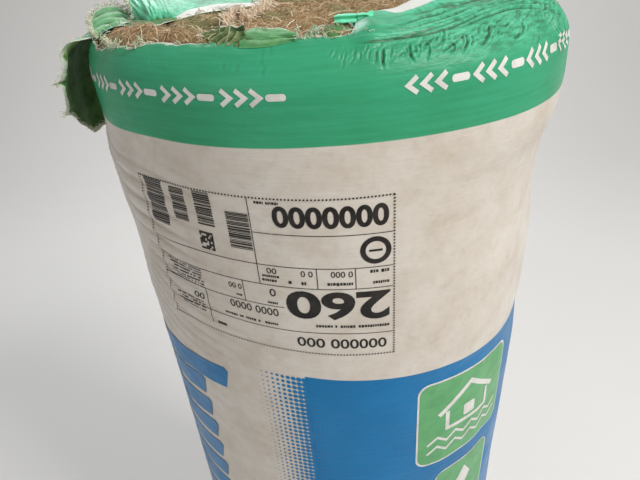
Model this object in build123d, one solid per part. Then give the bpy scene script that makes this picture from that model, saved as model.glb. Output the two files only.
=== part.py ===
from build123d import *
import math
import os

# Insulation roll: one glass-wool batt wound up tight under pressure, in a printed film sleeve
# that is folded over both ends. It stands on its end. Millimetres, +Z up. The origin is on the
# roll's axis, on the floor. The side with the printed panel faces -Y. Angles count from +X
# towards +Y, so the front is at -90 degrees and the left side is at 180 degrees.

# Wool batt
batt_width = 1200.0
roll_diameter = 420.0
turn_pitch = 43.3
rim_radius = 32.0
rim_facets = 5
seam_width = 11.0
seam_depth = 8.0
eye_radius = 19.0
eye_depth = 14.0

# Film sleeve: 1 mm here stands for a film of about 0.1 mm
film_thickness = 1.0
film_gap = 0.4
foot_ring_inner_radius = 96.0
lap_width = 26.0
lap_thickness = 0.8
lap_angle = 90.0

# Pleats that gather the sleeve over each end
pleat_count = 18
pleat_width = 30.0
pleat_inner_radius = 92.0
pleat_lean = 38.0
pleat_thickness = 1.0

# Torn strip of the sleeve that hangs over the left rim
flap_start_angle = 163.0
flap_end_angle = 205.0
flap_standoff = 32.0
flap_drop = 124.0
flap_rise = 7.0
flap_root_lap = 8.0
flap_notch = 9.0
flap_notch_count = 7

film_radius = roll_diameter / 2
film_inner_radius = film_radius - film_thickness
wool_radius = film_inner_radius - film_gap
foot_recess = film_thickness + film_gap
film_top = batt_width + film_gap + film_thickness
film_rim_radius = rim_radius + film_gap + film_thickness
rim_centre_radius = wool_radius - rim_radius
lower_rim_height = foot_recess + rim_radius
upper_rim_height = batt_width - rim_radius

# Torn opening of the top fold seen from above, in parts of the roll's radius. It runs
# anticlockwise from the right: the clean cut edge at the back, the tear at the left and front.
opening_back = [(0.44, -0.10), (0.41, 0.10), (0.30, 0.24), (0.12, 0.30), (-0.05, 0.18), (-0.18, 0.00)]
opening_left = [(-0.27, -0.09), (-0.40, -0.04), (-0.49, -0.09), (-0.54, -0.33), (-0.69, -0.41), (-0.79, -0.43)]
opening_front = [(-0.86, -0.37), (-0.79, -0.52), (-0.75, -0.58), (-0.64, -0.68), (-0.45, -0.78), (-0.28, -0.84)]
opening_pocket = [(-0.25, -0.68), (-0.15, -0.68), (-0.07, -0.86), (-0.03, -0.85), (0.00, -0.80)]
opening_right = [(0.05, -0.76), (0.12, -0.70), (0.24, -0.67), (0.32, -0.53), (0.40, -0.30)]


def rim(height, radius, start_angle):
    """Points of a soft rim's quarter round, from a start angle on. Film and wool share its
    centre and its facets, so that the gap between them stays even."""
    points = []
    for i in range(rim_facets + 1):
        angle = math.radians(start_angle + 90 * i / rim_facets)
        points.append((rim_centre_radius + radius * math.cos(angle), height + radius * math.sin(angle)))
    return points


def wool_section():
    """Half section of the rolled batt: a foot that stands on the floor inside the film's
    lower ring, then the side between two soft rims."""
    foot_radius = foot_ring_inner_radius - film_gap
    foot = [(0, 0), (foot_radius, 0), (foot_radius, foot_recess)]
    lower_rim = rim(lower_rim_height, rim_radius, 270)
    upper_rim = rim(upper_rim_height, rim_radius, 0)
    top_centre = (0, batt_width)
    return Plane.XZ * make_face(Polyline(*foot, *lower_rim, *upper_rim, top_centre, foot[0]))


def turn_seams(face_height, inwards):
    """The seam between the turns on one end, as half rings about two centres in turn. Each half
    ring is half a pitch larger than the one before, so that together they wind as a spiral."""
    half_pitch = turn_pitch / 2
    count = int((wool_radius - eye_radius) / half_pitch)
    first_radius = wool_radius - count * half_pitch
    bottom = (0, inwards * seam_depth)
    left_lip = (-seam_width / 2, -inwards)
    right_lip = (seam_width / 2, -inwards)
    section = make_face(Polyline(bottom, left_lip, right_lip, bottom))
    seams = []
    for turn in range(count):
        centre = 0 if turn % 2 == 0 else half_pitch
        side = 1 if turn % 2 == 0 else -1
        radius = first_radius + turn * half_pitch
        placed = Plane.XZ * Pos(centre + side * radius, face_height) * section
        seams.append(revolve(placed, Axis((centre, 0, 0), (0, 0, 1)), 180))
    return seams


def wool_roll():
    """The rolled batt, turned in one piece, with the dimple where its first turn is folded on
    itself, and the seam of its turns cut into both ends."""
    dish_radius = (eye_radius**2 + eye_depth**2) / (2 * eye_depth)
    roll = revolve(wool_section(), Axis.Z)
    roll -= Pos(0, 0, batt_width - eye_depth + dish_radius) * Sphere(dish_radius)
    for seam in turn_seams(batt_width, -1) + turn_seams(0, 1):
        roll -= seam
    return roll


def sleeve_core(inset):
    """The closed form inside the sleeve's outer face, or inside a face that far within it."""
    lower_rim = rim(lower_rim_height, film_rim_radius - inset, 270)
    upper_rim = rim(upper_rim_height, film_rim_radius - inset, 0)
    bottom_centre = (0, inset)
    top_centre = (0, film_top - inset)
    outline = Polyline(bottom_centre, *lower_rim, *upper_rim, top_centre, bottom_centre)
    return revolve(Plane.XZ * make_face(outline), Axis.Z)


def sleeve():
    """The film sleeve, folded over both ends: still closed at the top, with its ring's hole at
    the foot."""
    shell = sleeve_core(0) - sleeve_core(film_thickness)
    return shell - Cylinder(foot_ring_inner_radius, 4 * film_thickness)


def pleats():
    """Long thin laps of the gathered film on the top fold, all leaning the same way round."""
    outer_radius = rim_centre_radius
    tip = (pleat_inner_radius, 0)
    lean = math.radians(pleat_lean)
    heel = (outer_radius * math.cos(lean), outer_radius * math.sin(lean))
    heel_turn = lean + pleat_width / outer_radius
    toe = (outer_radius * math.cos(heel_turn), outer_radius * math.sin(heel_turn))
    lap = extrude(make_face(Polyline(tip, heel, toe, tip)), pleat_thickness)
    return [Pos(0, 0, film_top) * spot * lap for spot in PolarLocations(0, pleat_count)]


def torn_opening():
    """Prism through the top fold where the film was cut and then torn open."""
    corners = opening_back + opening_left + opening_front + opening_pocket + opening_right
    outline = Polygon(*[(x * film_radius, y * film_radius) for x, y in corners], align=None)
    floor_height = film_top - film_rim_radius
    return Pos(0, 0, floor_height) * extrude(outline, film_rim_radius + 2 * pleat_thickness)


def ribbon(points, thickness):
    """Closed section of a thin strip along a smooth curve through the points."""
    middle = Spline(*points)
    steps = [i / (len(points) - 1) for i in range(len(points))]
    sides = []
    for offset in (thickness / 2, -thickness / 2):
        edge = []
        for step in steps:
            along = middle % step
            across = Vector(-along.Y, along.X) * offset
            edge.append(middle @ step + across)
        sides.append(edge)
    upper, lower = sides
    outline = [
        Spline(*upper),
        Line(upper[-1], lower[-1]),
        Spline(*lower),
        Line(lower[0], upper[0]),
    ]
    return Plane.XZ * make_face(outline)


def flap():
    """The torn strip: it leaves the top fold, turns over the rim and hangs down off the side.
    Its lower edge is ragged."""
    root = rim_centre_radius - flap_root_lap
    root_height = film_top + 0.3 * film_thickness
    points = [
        (root, root_height),
        (root + flap_root_lap, root_height),
        (film_radius - 0.25 * film_rim_radius, film_top + flap_rise),
        (film_radius + 0.45 * flap_standoff, film_top - 0.10 * flap_drop),
        (film_radius + 0.85 * flap_standoff, film_top - 0.45 * flap_drop),
        (film_radius + flap_standoff, film_top - 0.80 * flap_drop),
        (film_radius + 0.92 * flap_standoff, film_top - flap_drop),
    ]
    sweep_angle = flap_end_angle - flap_start_angle
    hook = Rot(0, 0, flap_start_angle) * revolve(ribbon(points, film_thickness), Axis.Z, sweep_angle)
    reach = 2 * film_radius
    low = film_top - flap_drop - film_thickness
    teeth = [(-reach, low)]
    step = film_radius / flap_notch_count
    for i in range(2 * flap_notch_count + 1):
        up = flap_notch if i % 2 == 0 else 0
        teeth.append((-film_radius + i * step, low + up + film_thickness))
    outline = Polyline(*teeth, (reach, low), (reach, low - reach), (-reach, low - reach), teeth[0])
    ragged = Plane.YZ * Pos(0, 0, -reach) * make_face(outline)
    return hook - extrude(ragged, reach)


def film_wrap():
    """The whole sleeve in one piece: folded ends, pleats, torn opening, hanging strip and the
    lap where the film's two long edges are welded together."""
    wrap = sleeve()
    for pleat in pleats():
        wrap += pleat
    wrap -= torn_opening()
    wrap += flap()
    lap_face = Plane.XZ * Pos(film_radius, batt_width / 2) * Rectangle(
        2 * lap_thickness, batt_width - 2 * film_rim_radius
    )
    lap_turn = math.degrees(lap_width / film_radius)
    return wrap + Rot(0, 0, lap_angle - lap_turn / 2) * revolve(lap_face, Axis.Z, lap_turn)


os.makedirs("parts", exist_ok=True)
export_step(wool_roll(), "parts/wool_roll.step")
export_step(film_wrap(), "parts/film_wrap.step")
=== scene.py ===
# %% [markdown]
# An insulation roll: one batt of glass wool wound up tight, in a sleeve of thin printed film.
# The film is folded over both ends in pleats, and at the top it has been cut and torn open.
# The solid model holds the sizes. This lesson dresses it: the film with its wrinkles and print,
# the torn strips, and the matted wool that shows where the film is gone.

# %% Load the solid model as a fixed frame
import math

import bmesh
import bpy
import numpy as np
from mathutils import Matrix, Vector


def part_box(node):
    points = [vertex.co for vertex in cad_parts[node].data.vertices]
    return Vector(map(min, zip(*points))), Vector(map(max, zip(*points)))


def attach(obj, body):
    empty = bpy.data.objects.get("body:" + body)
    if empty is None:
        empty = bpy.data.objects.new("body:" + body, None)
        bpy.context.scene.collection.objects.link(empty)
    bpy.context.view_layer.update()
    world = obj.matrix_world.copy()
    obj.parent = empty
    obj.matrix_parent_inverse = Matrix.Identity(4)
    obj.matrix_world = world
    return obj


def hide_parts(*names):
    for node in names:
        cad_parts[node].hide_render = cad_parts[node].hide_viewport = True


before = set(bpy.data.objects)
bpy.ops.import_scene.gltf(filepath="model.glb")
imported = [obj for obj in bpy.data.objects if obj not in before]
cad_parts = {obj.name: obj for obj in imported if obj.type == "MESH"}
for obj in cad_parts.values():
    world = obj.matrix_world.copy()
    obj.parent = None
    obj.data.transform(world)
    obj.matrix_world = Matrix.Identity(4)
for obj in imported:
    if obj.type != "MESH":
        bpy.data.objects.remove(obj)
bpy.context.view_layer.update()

_, wool_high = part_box("wool_roll")
_, film_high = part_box("film_wrap")
WOOL_TOP = wool_high[2]
ROLL_RADIUS = film_high[0]
FILM_OFFSET = ROLL_RADIUS - wool_high[0]
FILM_TOP = WOOL_TOP + FILM_OFFSET
print("roll radius", ROLL_RADIUS, "film top", FILM_TOP)

# %% [markdown]
# The camera comes first, because everything is compared through it. It stands a little above
# the roll and close to it, and looks down steeply, tilted a little to one side. Its axes are
# built from a pitch, a yaw and a roll, so that each can be corrected by itself.

# %% Camera
CAMERA_DISTANCE = 2.491 * ROLL_RADIUS
CAMERA_HEIGHT = 1.265
CAMERA_PITCH = math.radians(32.13)
CAMERA_YAW = math.radians(-1.84)
CAMERA_ROLL = math.radians(-4.89)
FOCAL_PIXELS = 517
PHOTO_WIDTH_PIXELS = 640
SENSOR_WIDTH = 36


def camera_axes():
    """The camera's right, up and backward directions in the roll's own axes."""
    ahead = Vector((
        math.sin(CAMERA_YAW) * math.cos(CAMERA_PITCH),
        math.cos(CAMERA_YAW) * math.cos(CAMERA_PITCH),
        -math.sin(CAMERA_PITCH),
    ))
    level = Vector((math.cos(CAMERA_YAW), -math.sin(CAMERA_YAW), 0))
    upright = level.cross(ahead)
    right = level * math.cos(CAMERA_ROLL) + upright * math.sin(CAMERA_ROLL)
    up = upright * math.cos(CAMERA_ROLL) - level * math.sin(CAMERA_ROLL)
    return right, up, -ahead


def place_piece(name, data):
    """Put a piece with the given data into the scene."""
    piece = bpy.data.objects.new(name, data)
    bpy.context.scene.collection.objects.link(piece)
    return piece


camera_data = bpy.data.cameras.new("camera")
camera_data.sensor_width = SENSOR_WIDTH
camera_data.lens = FOCAL_PIXELS / PHOTO_WIDTH_PIXELS * SENSOR_WIDTH
camera_data.clip_start = 0.01
camera = place_piece("camera", camera_data)
camera_stand = Matrix.Translation((0, -CAMERA_DISTANCE, CAMERA_HEIGHT))
camera.matrix_world = camera_stand @ Matrix(camera_axes()).transposed().to_4x4()
bpy.context.scene.camera = camera
print("lens", round(camera_data.lens, 2), "mm")

# %% [markdown]
# Folds, lumps and ragged edges all need noise that is the same on each run. This is value noise
# worked out with numpy: random numbers at the corners of a lattice, blended smoothly between
# them. It reads a point's place in space, so it has no seam where the film closes on itself.

# %% Noise and smooth steps
HASH_STEPS = np.array([374761393, 668265263, 2147483647], dtype=np.int64)
SEED_STEP = 1274126177
HASH_FACTOR = 1103515245
HASH_MAX = 0xFFFF


def smooth(x):
    """0 below 0, 1 above 1, and a soft step between."""
    x = np.clip(x, 0, 1)
    return x * x * (3 - 2 * x)


def lattice(ix, iy, iz, seed):
    """A random number from -1 to 1 for each lattice corner."""
    mixed = ix * HASH_STEPS[0] + iy * HASH_STEPS[1] + iz * HASH_STEPS[2] + seed * SEED_STEP
    mixed = np.atleast_1d(mixed)
    mixed = (mixed ^ (mixed >> 13)) * HASH_FACTOR
    mixed = (mixed ^ (mixed >> 16)) & HASH_MAX
    return mixed / (HASH_MAX / 2) - 1


def noise(x, y, z, size, seed):
    """Smooth noise from -1 to 1 with lumps of the given size."""
    px, py, pz = np.asarray(x) / size, np.asarray(y) / size, np.asarray(z) / size
    cells = [np.floor(p).astype(np.int64) for p in np.broadcast_arrays(px, py, pz)]
    fx, fy, fz = [smooth(p - c) for p, c in zip((px, py, pz), cells)]
    total = 0
    for dx in (0, 1):
        for dy in (0, 1):
            for dz in (0, 1):
                corner = lattice(cells[0] + dx, cells[1] + dy, cells[2] + dz, seed)
                share = abs(1 - dx - fx) * abs(1 - dy - fy) * abs(1 - dz - fz)
                total = total + corner * share
    return total


def layered(x, y, z, size, seed, layers=4):
    """Noise with finer and weaker layers on top, as in crumpled or matted stuff."""
    return sum(noise(x, y, z, size / 2**i, seed + i) / 2**i for i in range(layers))


print("a sample of the noise", noise(0.01, 0.02, 0.03, 0.05, 1).round(3))

# %% [markdown]
# The film is one sheet, so it is made from one flat chart: s runs round the roll, from 0 at the
# front, and h runs up its height, on over the rim and in towards the middle. A chart point's
# place is found from the roll's profile: ring, rim, side, rim, ring.

# %% The film's profile
SOFT_RIM = 0.032
RIM = SOFT_RIM + FILM_OFFSET
RING_START = ROLL_RADIUS - RIM
QUARTER = RIM * math.pi / 2
SIDE_TOP = FILM_TOP - RIM
CREST = SIDE_TOP + QUARTER
FOOT_CREST = RIM - QUARTER


def profile(h):
    """Radius and height at film height h, and the outward direction in that plane."""
    up = np.clip((h - SIDE_TOP) / RIM, 0, math.pi / 2)
    down = np.clip((RIM - h) / RIM, 0, math.pi / 2)
    turn = up - down
    radius = RING_START + RIM * np.cos(turn)
    height = np.clip(h, RIM, SIDE_TOP) + RIM * np.sin(turn)
    radius = radius - np.maximum(h - CREST, 0) - np.maximum(FOOT_CREST - h, 0)
    return radius, height, np.cos(turn), np.sin(turn)


def plan_place(s, h):
    """Place of a chart point seen from above."""
    radius, angle = profile(h)[0], s / ROLL_RADIUS - math.pi / 2
    return radius * np.cos(angle), radius * np.sin(angle)


print("film height of the crest", round(CREST, 4))

# %% [markdown]
# The printed rings aren't level: the film slipped a little as it was pulled on, and bunched up
# on the left. So a point's height is shifted by a lean that grows downwards and follows the
# sine of the place round the roll.

# %% The film's slip
LEAN_HEIGHTS = [0.10, 0.60, 0.923, 0.956, 1.103, 1.141, 1.175]
LEANS = [0.0, 0.0200, 0.0286, 0.0220, 0.0067, 0.0048, 0.0]
DROOP = 0.0040


def slip(s, h):
    """How far the film at chart point (s, h) sits below its nominal height."""
    turn = s / ROLL_RADIUS
    bunched = 1 - 0.5 * smooth((-0.4 - turn) / 1.2)
    top_part = smooth((h - 1.10) / 0.035)
    even = np.interp(h, LEAN_HEIGHTS, LEANS) * np.sin(turn) * bunched
    droop = DROOP * smooth((-turn - 0.6) / 0.5) * smooth((turn + 2.6) / 0.8)
    return even * np.where(turn < 0, 1 - top_part, 1) + droop * top_part * smooth((1.19 - h) / 0.02)


print("slip at the left", round(float(slip(-1.2 * ROLL_RADIUS, LEAN_HEIGHTS[2])), 4))

# %% [markdown]
# Where the film was cut and torn, its edge is an outline seen from above, in parts of the
# roll's radius: the clean cut at the back and right, the tear at the left and front. The
# distance to it says what film is gone, where the wool swells up, and where the unprinted
# margin along the clean cut runs.

# %% The torn opening
CLEAN_CUT = [
    (0.124, -0.70), (0.245, -0.674), (0.352, -0.545), (0.43, -0.30), (0.45, -0.10), (0.41, 0.10),
    (0.30, 0.24), (0.12, 0.30), (-0.05, 0.18), (-0.18, 0.00), (-0.27, -0.09), (-0.40, -0.04), (-0.49, -0.09),
    (-0.54, -0.33),
]
TEAR = [
    (-0.54, -0.33), (-0.63, -0.36), (-0.69, -0.41), (-0.79, -0.43), (-0.86, -0.37), (-0.84, -0.45),
    (-0.79, -0.52), (-0.75, -0.58), (-0.64, -0.68), (-0.56, -0.71), (-0.45, -0.78), (-0.41, -0.79),
    (-0.365, -0.815), (-0.28, -0.84), (-0.23, -0.80), (-0.15, -0.80), (-0.09, -0.862), (-0.05, -0.880),
    (0.00, -0.886), (0.05, -0.884), (0.088, -0.872), (0.104, -0.83), (0.110, -0.76), (0.124, -0.70),
]
TEETH_HEIGHT = 0.0032
TEETH_SIZE = 0.014
# The teeth are lower right of this place, in parts of the radius.
CALM_FROM = -0.62


def sides_of(path):
    """The ends of a path's sides in metres, from points given in parts of the radius."""
    for (ax, ay), (bx, by) in zip(path, path[1:]):
        yield ax * ROLL_RADIUS, ay * ROLL_RADIUS, bx * ROLL_RADIUS, by * ROLL_RADIUS


def distance_to(path, x, y):
    """Distance from each point to an open path."""
    best = np.full(np.shape(x), 1e9)
    for ax, ay, bx, by in sides_of(path):
        along = ((x - ax) * (bx - ax) + (y - ay) * (by - ay)) / ((bx - ax)**2 + (by - ay)**2)
        along = np.clip(along, 0, 1)
        best = np.minimum(best, np.hypot(x - ax - along * (bx - ax), y - ay - along * (by - ay)))
    return best


def inside(path, x, y):
    """Whether each point lies inside a closed path."""
    found = np.zeros(np.shape(x), dtype=bool)
    for ax, ay, bx, by in sides_of(path + path[:1]):
        crosses = (ay > y) != (by > y)
        with np.errstate(divide="ignore", invalid="ignore"):
            at = (bx - ax) * (y - ay) / (by - ay + 1e-12) + ax
        found ^= crosses & (x < at)
    return found


def opening_distance(x, y):
    """Signed distance to the opening's edge, negative where the film is gone. Small ragged
    teeth are added along the tear."""
    clean = distance_to(CLEAN_CUT, x, y)
    torn = distance_to(TEAR, x, y)
    distance = np.minimum(clean, torn)
    gone = inside(CLEAN_CUT[:-1] + TEAR[:-1], x, y)
    calm = 1 - 0.65 * smooth((x / ROLL_RADIUS - CALM_FROM) / 0.06)
    ragged = TEETH_HEIGHT * calm * layered(x, y, 0, TEETH_SIZE, 31, 3) * smooth((clean - torn) / 0.02 + 0.5)
    return np.where(gone, -distance, distance) + ragged


print("opening", len(CLEAN_CUT) + len(TEAR), "points")

# %% [markdown]
# The film isn't smooth. Over the wool it follows soft lumps, on the left it hangs in level
# wrinkles where it bunched up, on the shoulder it is pinched in short creases, and on the top
# it runs in long folds from the place where it was pulled into a pocket. Each of these is a
# height above the plain profile, and all are added up and laid along the film's normal.

# %% Lumps, bulge and wrinkles of the side
BULGE_HEIGHTS = [
    0.86, 0.899, 0.923, 0.987, 1.032, 1.063, 1.091, 1.103, 1.119, 1.141, 1.161, 1.173, 1.19, 1.20,
]
BULGE_SHARES = [
    0, -0.005, 0.008, 0.004, -0.013, -0.013, 0.003, 0.022, 0.040, 0.044, 0.038, 0.032, 0.022, 0.014,
]
BROAD_LUMPS = 0.0013
SMALL_LUMPS = 0.0006
SHOULDER_LUMP = 0.0021
WRINKLE_PITCH = 0.0155
WRINKLE_HEIGHT = 0.0022
STREAK_HEIGHT = 0.0009
SLACK_PITCH = 0.055
SLACK_HEIGHT = 0.0016
# The two long edges of the film are welded in a lap at the back.
LAP_WIDTH = 0.026
LAP_RISE = 0.0008


def crease(phase):
    """A row of sharp-topped wrinkles, from 0 to 1, one for each whole step of the phase."""
    return (1 - np.abs(2 * (phase - np.floor(phase)) - 1))**1.5


def wrinkle_phase(s, h, x, y, z):
    """How far the left side's film is bunched up, and the phase of its wrinkles."""
    turn = s / ROLL_RADIUS
    bunched = smooth((-turn - 0.30) / 0.6) * smooth((2.5 + turn) / 0.7)
    bunched = bunched * smooth((1.130 - h) / 0.035) * smooth((h - 0.76) / 0.08)
    bunched = bunched * (0.35 + 0.65 * smooth((h - 0.90) / 0.05))
    patchy = 0.35 + 0.65 * smooth(0.5 + noise(x, y, z, 0.08, 6))
    phase = (h + 0.20 * s + 0.008 * noise(x, y, z, 0.055, 5)) / WRINKLE_PITCH
    return bunched * patchy, phase


def side_relief(s, h, x, y, z):
    """Height of the side's lumps, bulge and wrinkles above the plain cylinder."""
    turn = s / ROLL_RADIUS
    lumps = BROAD_LUMPS * noise(x, y, z, 0.12, 1) + SMALL_LUMPS * noise(x, y, z, 0.045, 2)
    to_right = smooth(np.sin(turn - 0.15) / 0.8)
    bulge = ROLL_RADIUS * np.interp(z, BULGE_HEIGHTS, BULGE_SHARES) * to_right
    shoulder = SHOULDER_LUMP * smooth((-turn - 0.5) / 0.4)
    shoulder = shoulder * smooth((z - 1.02) / 0.04) * smooth((1.13 - z) / 0.03)
    bunched, phase = wrinkle_phase(s, h, x, y, z)
    wrinkles = WRINKLE_HEIGHT * bunched * crease(phase)
    wander = noise(x, y, z, 0.055, 5)
    upright = smooth((turn - 0.2) / 0.5) * smooth((1.08 - h) / 0.06)
    streaks = STREAK_HEIGHT * upright * noise(s, h / 4, 0, 0.024, 8)
    low = smooth((0.78 - h) / 0.1)
    slack_phase = (h + 0.35 * s + 0.012 * wander) / SLACK_PITCH
    slack = SLACK_HEIGHT * low * crease(slack_phase) * smooth(noise(x, y, z, 0.15, 9))
    lap = LAP_RISE * smooth((LAP_WIDTH / 2 - ROLL_RADIUS * (math.pi - np.abs(turn))) / 0.004)
    return lumps + bulge + shoulder + wrinkles + streaks + slack + lap


print("wrinkles", WRINKLE_PITCH, "apart,", WRINKLE_HEIGHT, "high")

# %% Creases of the shoulder
# Each crease runs through places given as turn round the roll and share of the way over the rim.
# Its depth and half width follow, in millimetres.
SHORT_CREASES = [
    ([(0.193, 0.57), (0.184, 0.43), (0.179, 0.29)], 1.5, 0.83), ([(0.171, 0.53), (0.156, 0.40)], 0.7, 0.62),
    ([(0.149, 0.54), (0.137, 0.42)], 0.6, 0.62), ([(0.120, 0.53), (0.111, 0.42)], 0.6, 0.62),
    ([(0.279, 0.58), (0.272, 0.41), (0.280, 0.31)], 1.5, 0.83), ([(0.267, 0.55), (0.262, 0.38)], 0.8, 0.62),
    ([(0.295, 0.54), (0.291, 0.39)], 0.8, 0.62), ([(0.315, 0.56), (0.306, 0.46), (0.286, 0.36)], 0.9, 0.62),
    ([(0.339, 0.55), (0.334, 0.42), (0.313, 0.30)], 1.0, 0.68), ([(0.385, 0.64), (0.367, 0.52)], 0.7, 0.62),
    ([(0.419, 0.69), (0.400, 0.57), (0.383, 0.49)], 1.1, 0.75),
    ([(0.425, 0.51), (0.417, 0.39), (0.390, 0.33)], 1.0, 0.68),
    ([(0.466, 0.56), (0.459, 0.45), (0.435, 0.36)], 1.1, 0.68),
    ([(0.487, 0.59), (0.468, 0.42), (0.430, 0.30)], 1.5, 0.83),
    ([(0.508, 0.54), (0.490, 0.42), (0.469, 0.34)], 1.0, 0.68),
    ([(0.603, 0.63), (0.564, 0.46), (0.505, 0.33)], 1.7, 0.98),
    ([(0.597, 0.50), (0.554, 0.37), (0.512, 0.29)], 0.9, 0.68), ([(0.628, 0.55), (0.592, 0.37)], 0.8, 0.68),
    ([(0.750, 0.57), (0.728, 0.40), (0.690, 0.35), (0.640, 0.335)], 1.6, 0.90),
    ([(0.822, 0.36), (0.786, 0.22), (0.735, 0.14)], 0.7, 0.68),
    ([(0.795, 0.39), (0.763, 0.26), (0.712, 0.18)], 0.6, 0.68),
    ([(0.722, 0.70), (0.685, 0.65), (0.632, 0.60)], 0.9, 0.75),
    ([(0.563, 0.64), (0.534, 0.53), (0.527, 0.46)], 0.9, 0.68),
    ([(0.435, 0.65), (0.415, 0.53), (0.419, 0.47)], 0.7, 0.62),
]
LONG_CREASES = [
    ([
        (0.015, 0.74), (0.118, 0.65), (0.154, 0.63), (0.223, 0.67), (0.304, 0.67), (0.391, 0.68),
        (0.463, 0.71), (0.552, 0.77), (0.671, 0.84), (0.778, 0.85),
    ], 1.8, 1.12),
    ([
        (0.126, 0.80), (0.184, 0.81), (0.285, 0.91), (0.423, 1.07), (0.595, 1.20), (0.814, 1.26),
        (0.93, 1.25),
    ], 1.8, 1.20),
    ([(0.161, 0.72), (0.245, 0.78), (0.357, 0.87), (0.492, 0.97), (0.656, 1.09), (0.849, 1.09)], 1.9, 1.12),
    ([
        (0.173, 0.66), (0.252, 0.68), (0.348, 0.73), (0.449, 0.78), (0.579, 0.87), (0.702, 0.94),
        (0.910, 0.87),
    ], 1.8, 1.04),
    ([(0.391, 0.66), (0.505, 0.68), (0.640, 0.76), (0.791, 0.73), (0.937, 0.56), (1.10, 0.34)], 1.4, 0.96),
    ([(0.580, 0.70), (0.612, 0.72), (0.739, 0.75), (0.866, 0.67), (0.961, 0.50), (1.140, 0.22)], 1.2, 0.90),
    ([(0.200, 0.75), (0.300, 0.80), (0.420, 0.88), (0.560, 0.98), (0.700, 1.03), (0.880, 1.00)], 1.3, 0.90),
    ([(0.240, 0.93), (0.360, 1.05), (0.500, 1.18), (0.660, 1.32), (0.800, 1.42), (0.980, 1.44)], 1.4, 1.20),
    ([(0.450, 0.73), (0.560, 0.79), (0.700, 0.84), (0.850, 0.80), (1.000, 0.63), (1.180, 0.40)], 1.2, 0.90),
    ([(0.660, 1.00), (0.800, 0.98), (0.950, 0.86), (1.100, 0.68), (1.300, 0.50)], 1.3, 1.04),
]
FILLER_COUNT = 110
SCATTERED_COUNT = 50
rng = np.random.default_rng(7)
filler_creases = []
for _ in range(FILLER_COUNT):
    turn, top = rng.uniform(0.03, 1.25), rng.uniform(0.44, 0.68)
    lean = (0.012 + 0.09 * turn) * rng.uniform(0.5, 1.5)
    reach = rng.uniform(0.07, 0.17)
    places = [(turn, top), (turn - 0.35 * lean, top - 0.5 * reach), (turn - lean, top - reach)]
    filler_creases.append((places, rng.uniform(0.25, 0.75), rng.uniform(0.55, 0.75)))
for _ in range(SCATTERED_COUNT):
    turn, top = rng.uniform(-math.pi, -0.02), rng.uniform(0.45, 1.0)
    reach = rng.uniform(0.10, 0.28)
    places = [(turn, top), (turn - rng.uniform(-0.02, 0.03), top - reach)]
    filler_creases.append((places, rng.uniform(0.15, 0.40), rng.uniform(0.9, 1.5)))
print("creases", len(SHORT_CREASES), "short,", len(LONG_CREASES), "long,", len(filler_creases), "fillers")

# %% Height of the creases
# A finer crease runs beside each long one, this far up, in shares of the way over the rim.
TWIN_SHIFT = 0.048
ARC_HEIGHT = 0.0007
ARC_PITCH = 0.0052


def through(points, share):
    """Smooth curve through points, at shares of its length."""
    points = np.array(points, float)
    steps = np.concatenate([[0], np.cumsum(np.linalg.norm(np.diff(points, axis=0), axis=1))])
    steps /= steps[-1]
    slopes = np.gradient(points, steps, axis=0)
    share = np.clip(np.asarray(share, float), 0, 1)
    i = np.clip(np.searchsorted(steps, share, side="right") - 1, 0, len(steps) - 2)
    gap = (steps[i + 1] - steps[i])[..., None]
    t = (share - steps[i])[..., None] / gap
    start, end = points[i], points[i + 1]
    leaving, arriving = slopes[i] * gap, slopes[i + 1] * gap
    from_start = (2 * t**3 - 3 * t**2 + 1) * start + (t**3 - 2 * t**2 + t) * leaving
    return from_start + (3 * t**2 - 2 * t**3) * end + (t**3 - t**2) * arriving


def groove(off, width):
    """A sharp groove with a low ridge on its left and a higher one on its right."""
    left = 0.25 * np.exp(-((off + 1.9 * width) / (1.1 * width))**2)
    right = 0.55 * np.exp(-((off - 1.9 * width) / (1.1 * width))**2)
    return left + right - np.exp(-np.abs(off / width)**1.5)


def crease_line(s, rise, places, depth, width, steps=14):
    """Height of one crease: a groove along a curve, which fades towards both ends."""
    points = [(turn * ROLL_RADIUS, share * QUARTER) for turn, share in places]
    path = through(points, np.linspace(0, 1, steps))
    found = np.zeros(s.shape)
    reach = 5 * width
    low, high = path.min(axis=0) - reach, path.max(axis=0) + reach
    near = (s > low[0]) & (s < high[0]) & (rise > low[1]) & (rise < high[1])
    if not near.any():
        return found
    x, y = s[near], rise[near]
    best, off, along = np.full(x.shape, 1e9), np.zeros(x.shape), np.zeros(x.shape)
    for step in range(steps - 1):
        (ax, ay), (bx, by) = path[step], path[step + 1]
        length = math.hypot(bx - ax, by - ay)
        t = np.clip(((x - ax) * (bx - ax) + (y - ay) * (by - ay)) / length**2, 0, 1)
        away = np.hypot(x - ax - t * (bx - ax), y - ay - t * (by - ay))
        side = np.sign((x - ax) * (ay - by) + (y - ay) * (bx - ax))
        closer = away < best
        best = np.where(closer, away, best)
        off = np.where(closer, away * side, off)
        along = np.where(closer, (step + t) / (steps - 1), along)
    fade = smooth(along / 0.25) * smooth((1 - along) / 0.35)
    found[near] = depth * groove(off, width) * fade * (best < reach)
    return found


def creases(s, rise):
    """All creases of the shoulder and the crest. Each long crease has a finer one beside it."""
    total = np.zeros(s.shape)
    for places, depth, width in SHORT_CREASES + filler_creases:
        total += crease_line(s, rise, places, depth / 1000, width / 1000)
    for places, depth, width in LONG_CREASES:
        total += crease_line(s, rise, places, 1.1 * depth / 1000, 1.1 * width / 1000)
        beside = [(turn, share + TWIN_SHIFT) for turn, share in places]
        total += crease_line(s, rise, beside, 0.7 * depth / 1000, 0.65 * width / 1000)
    return total


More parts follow.
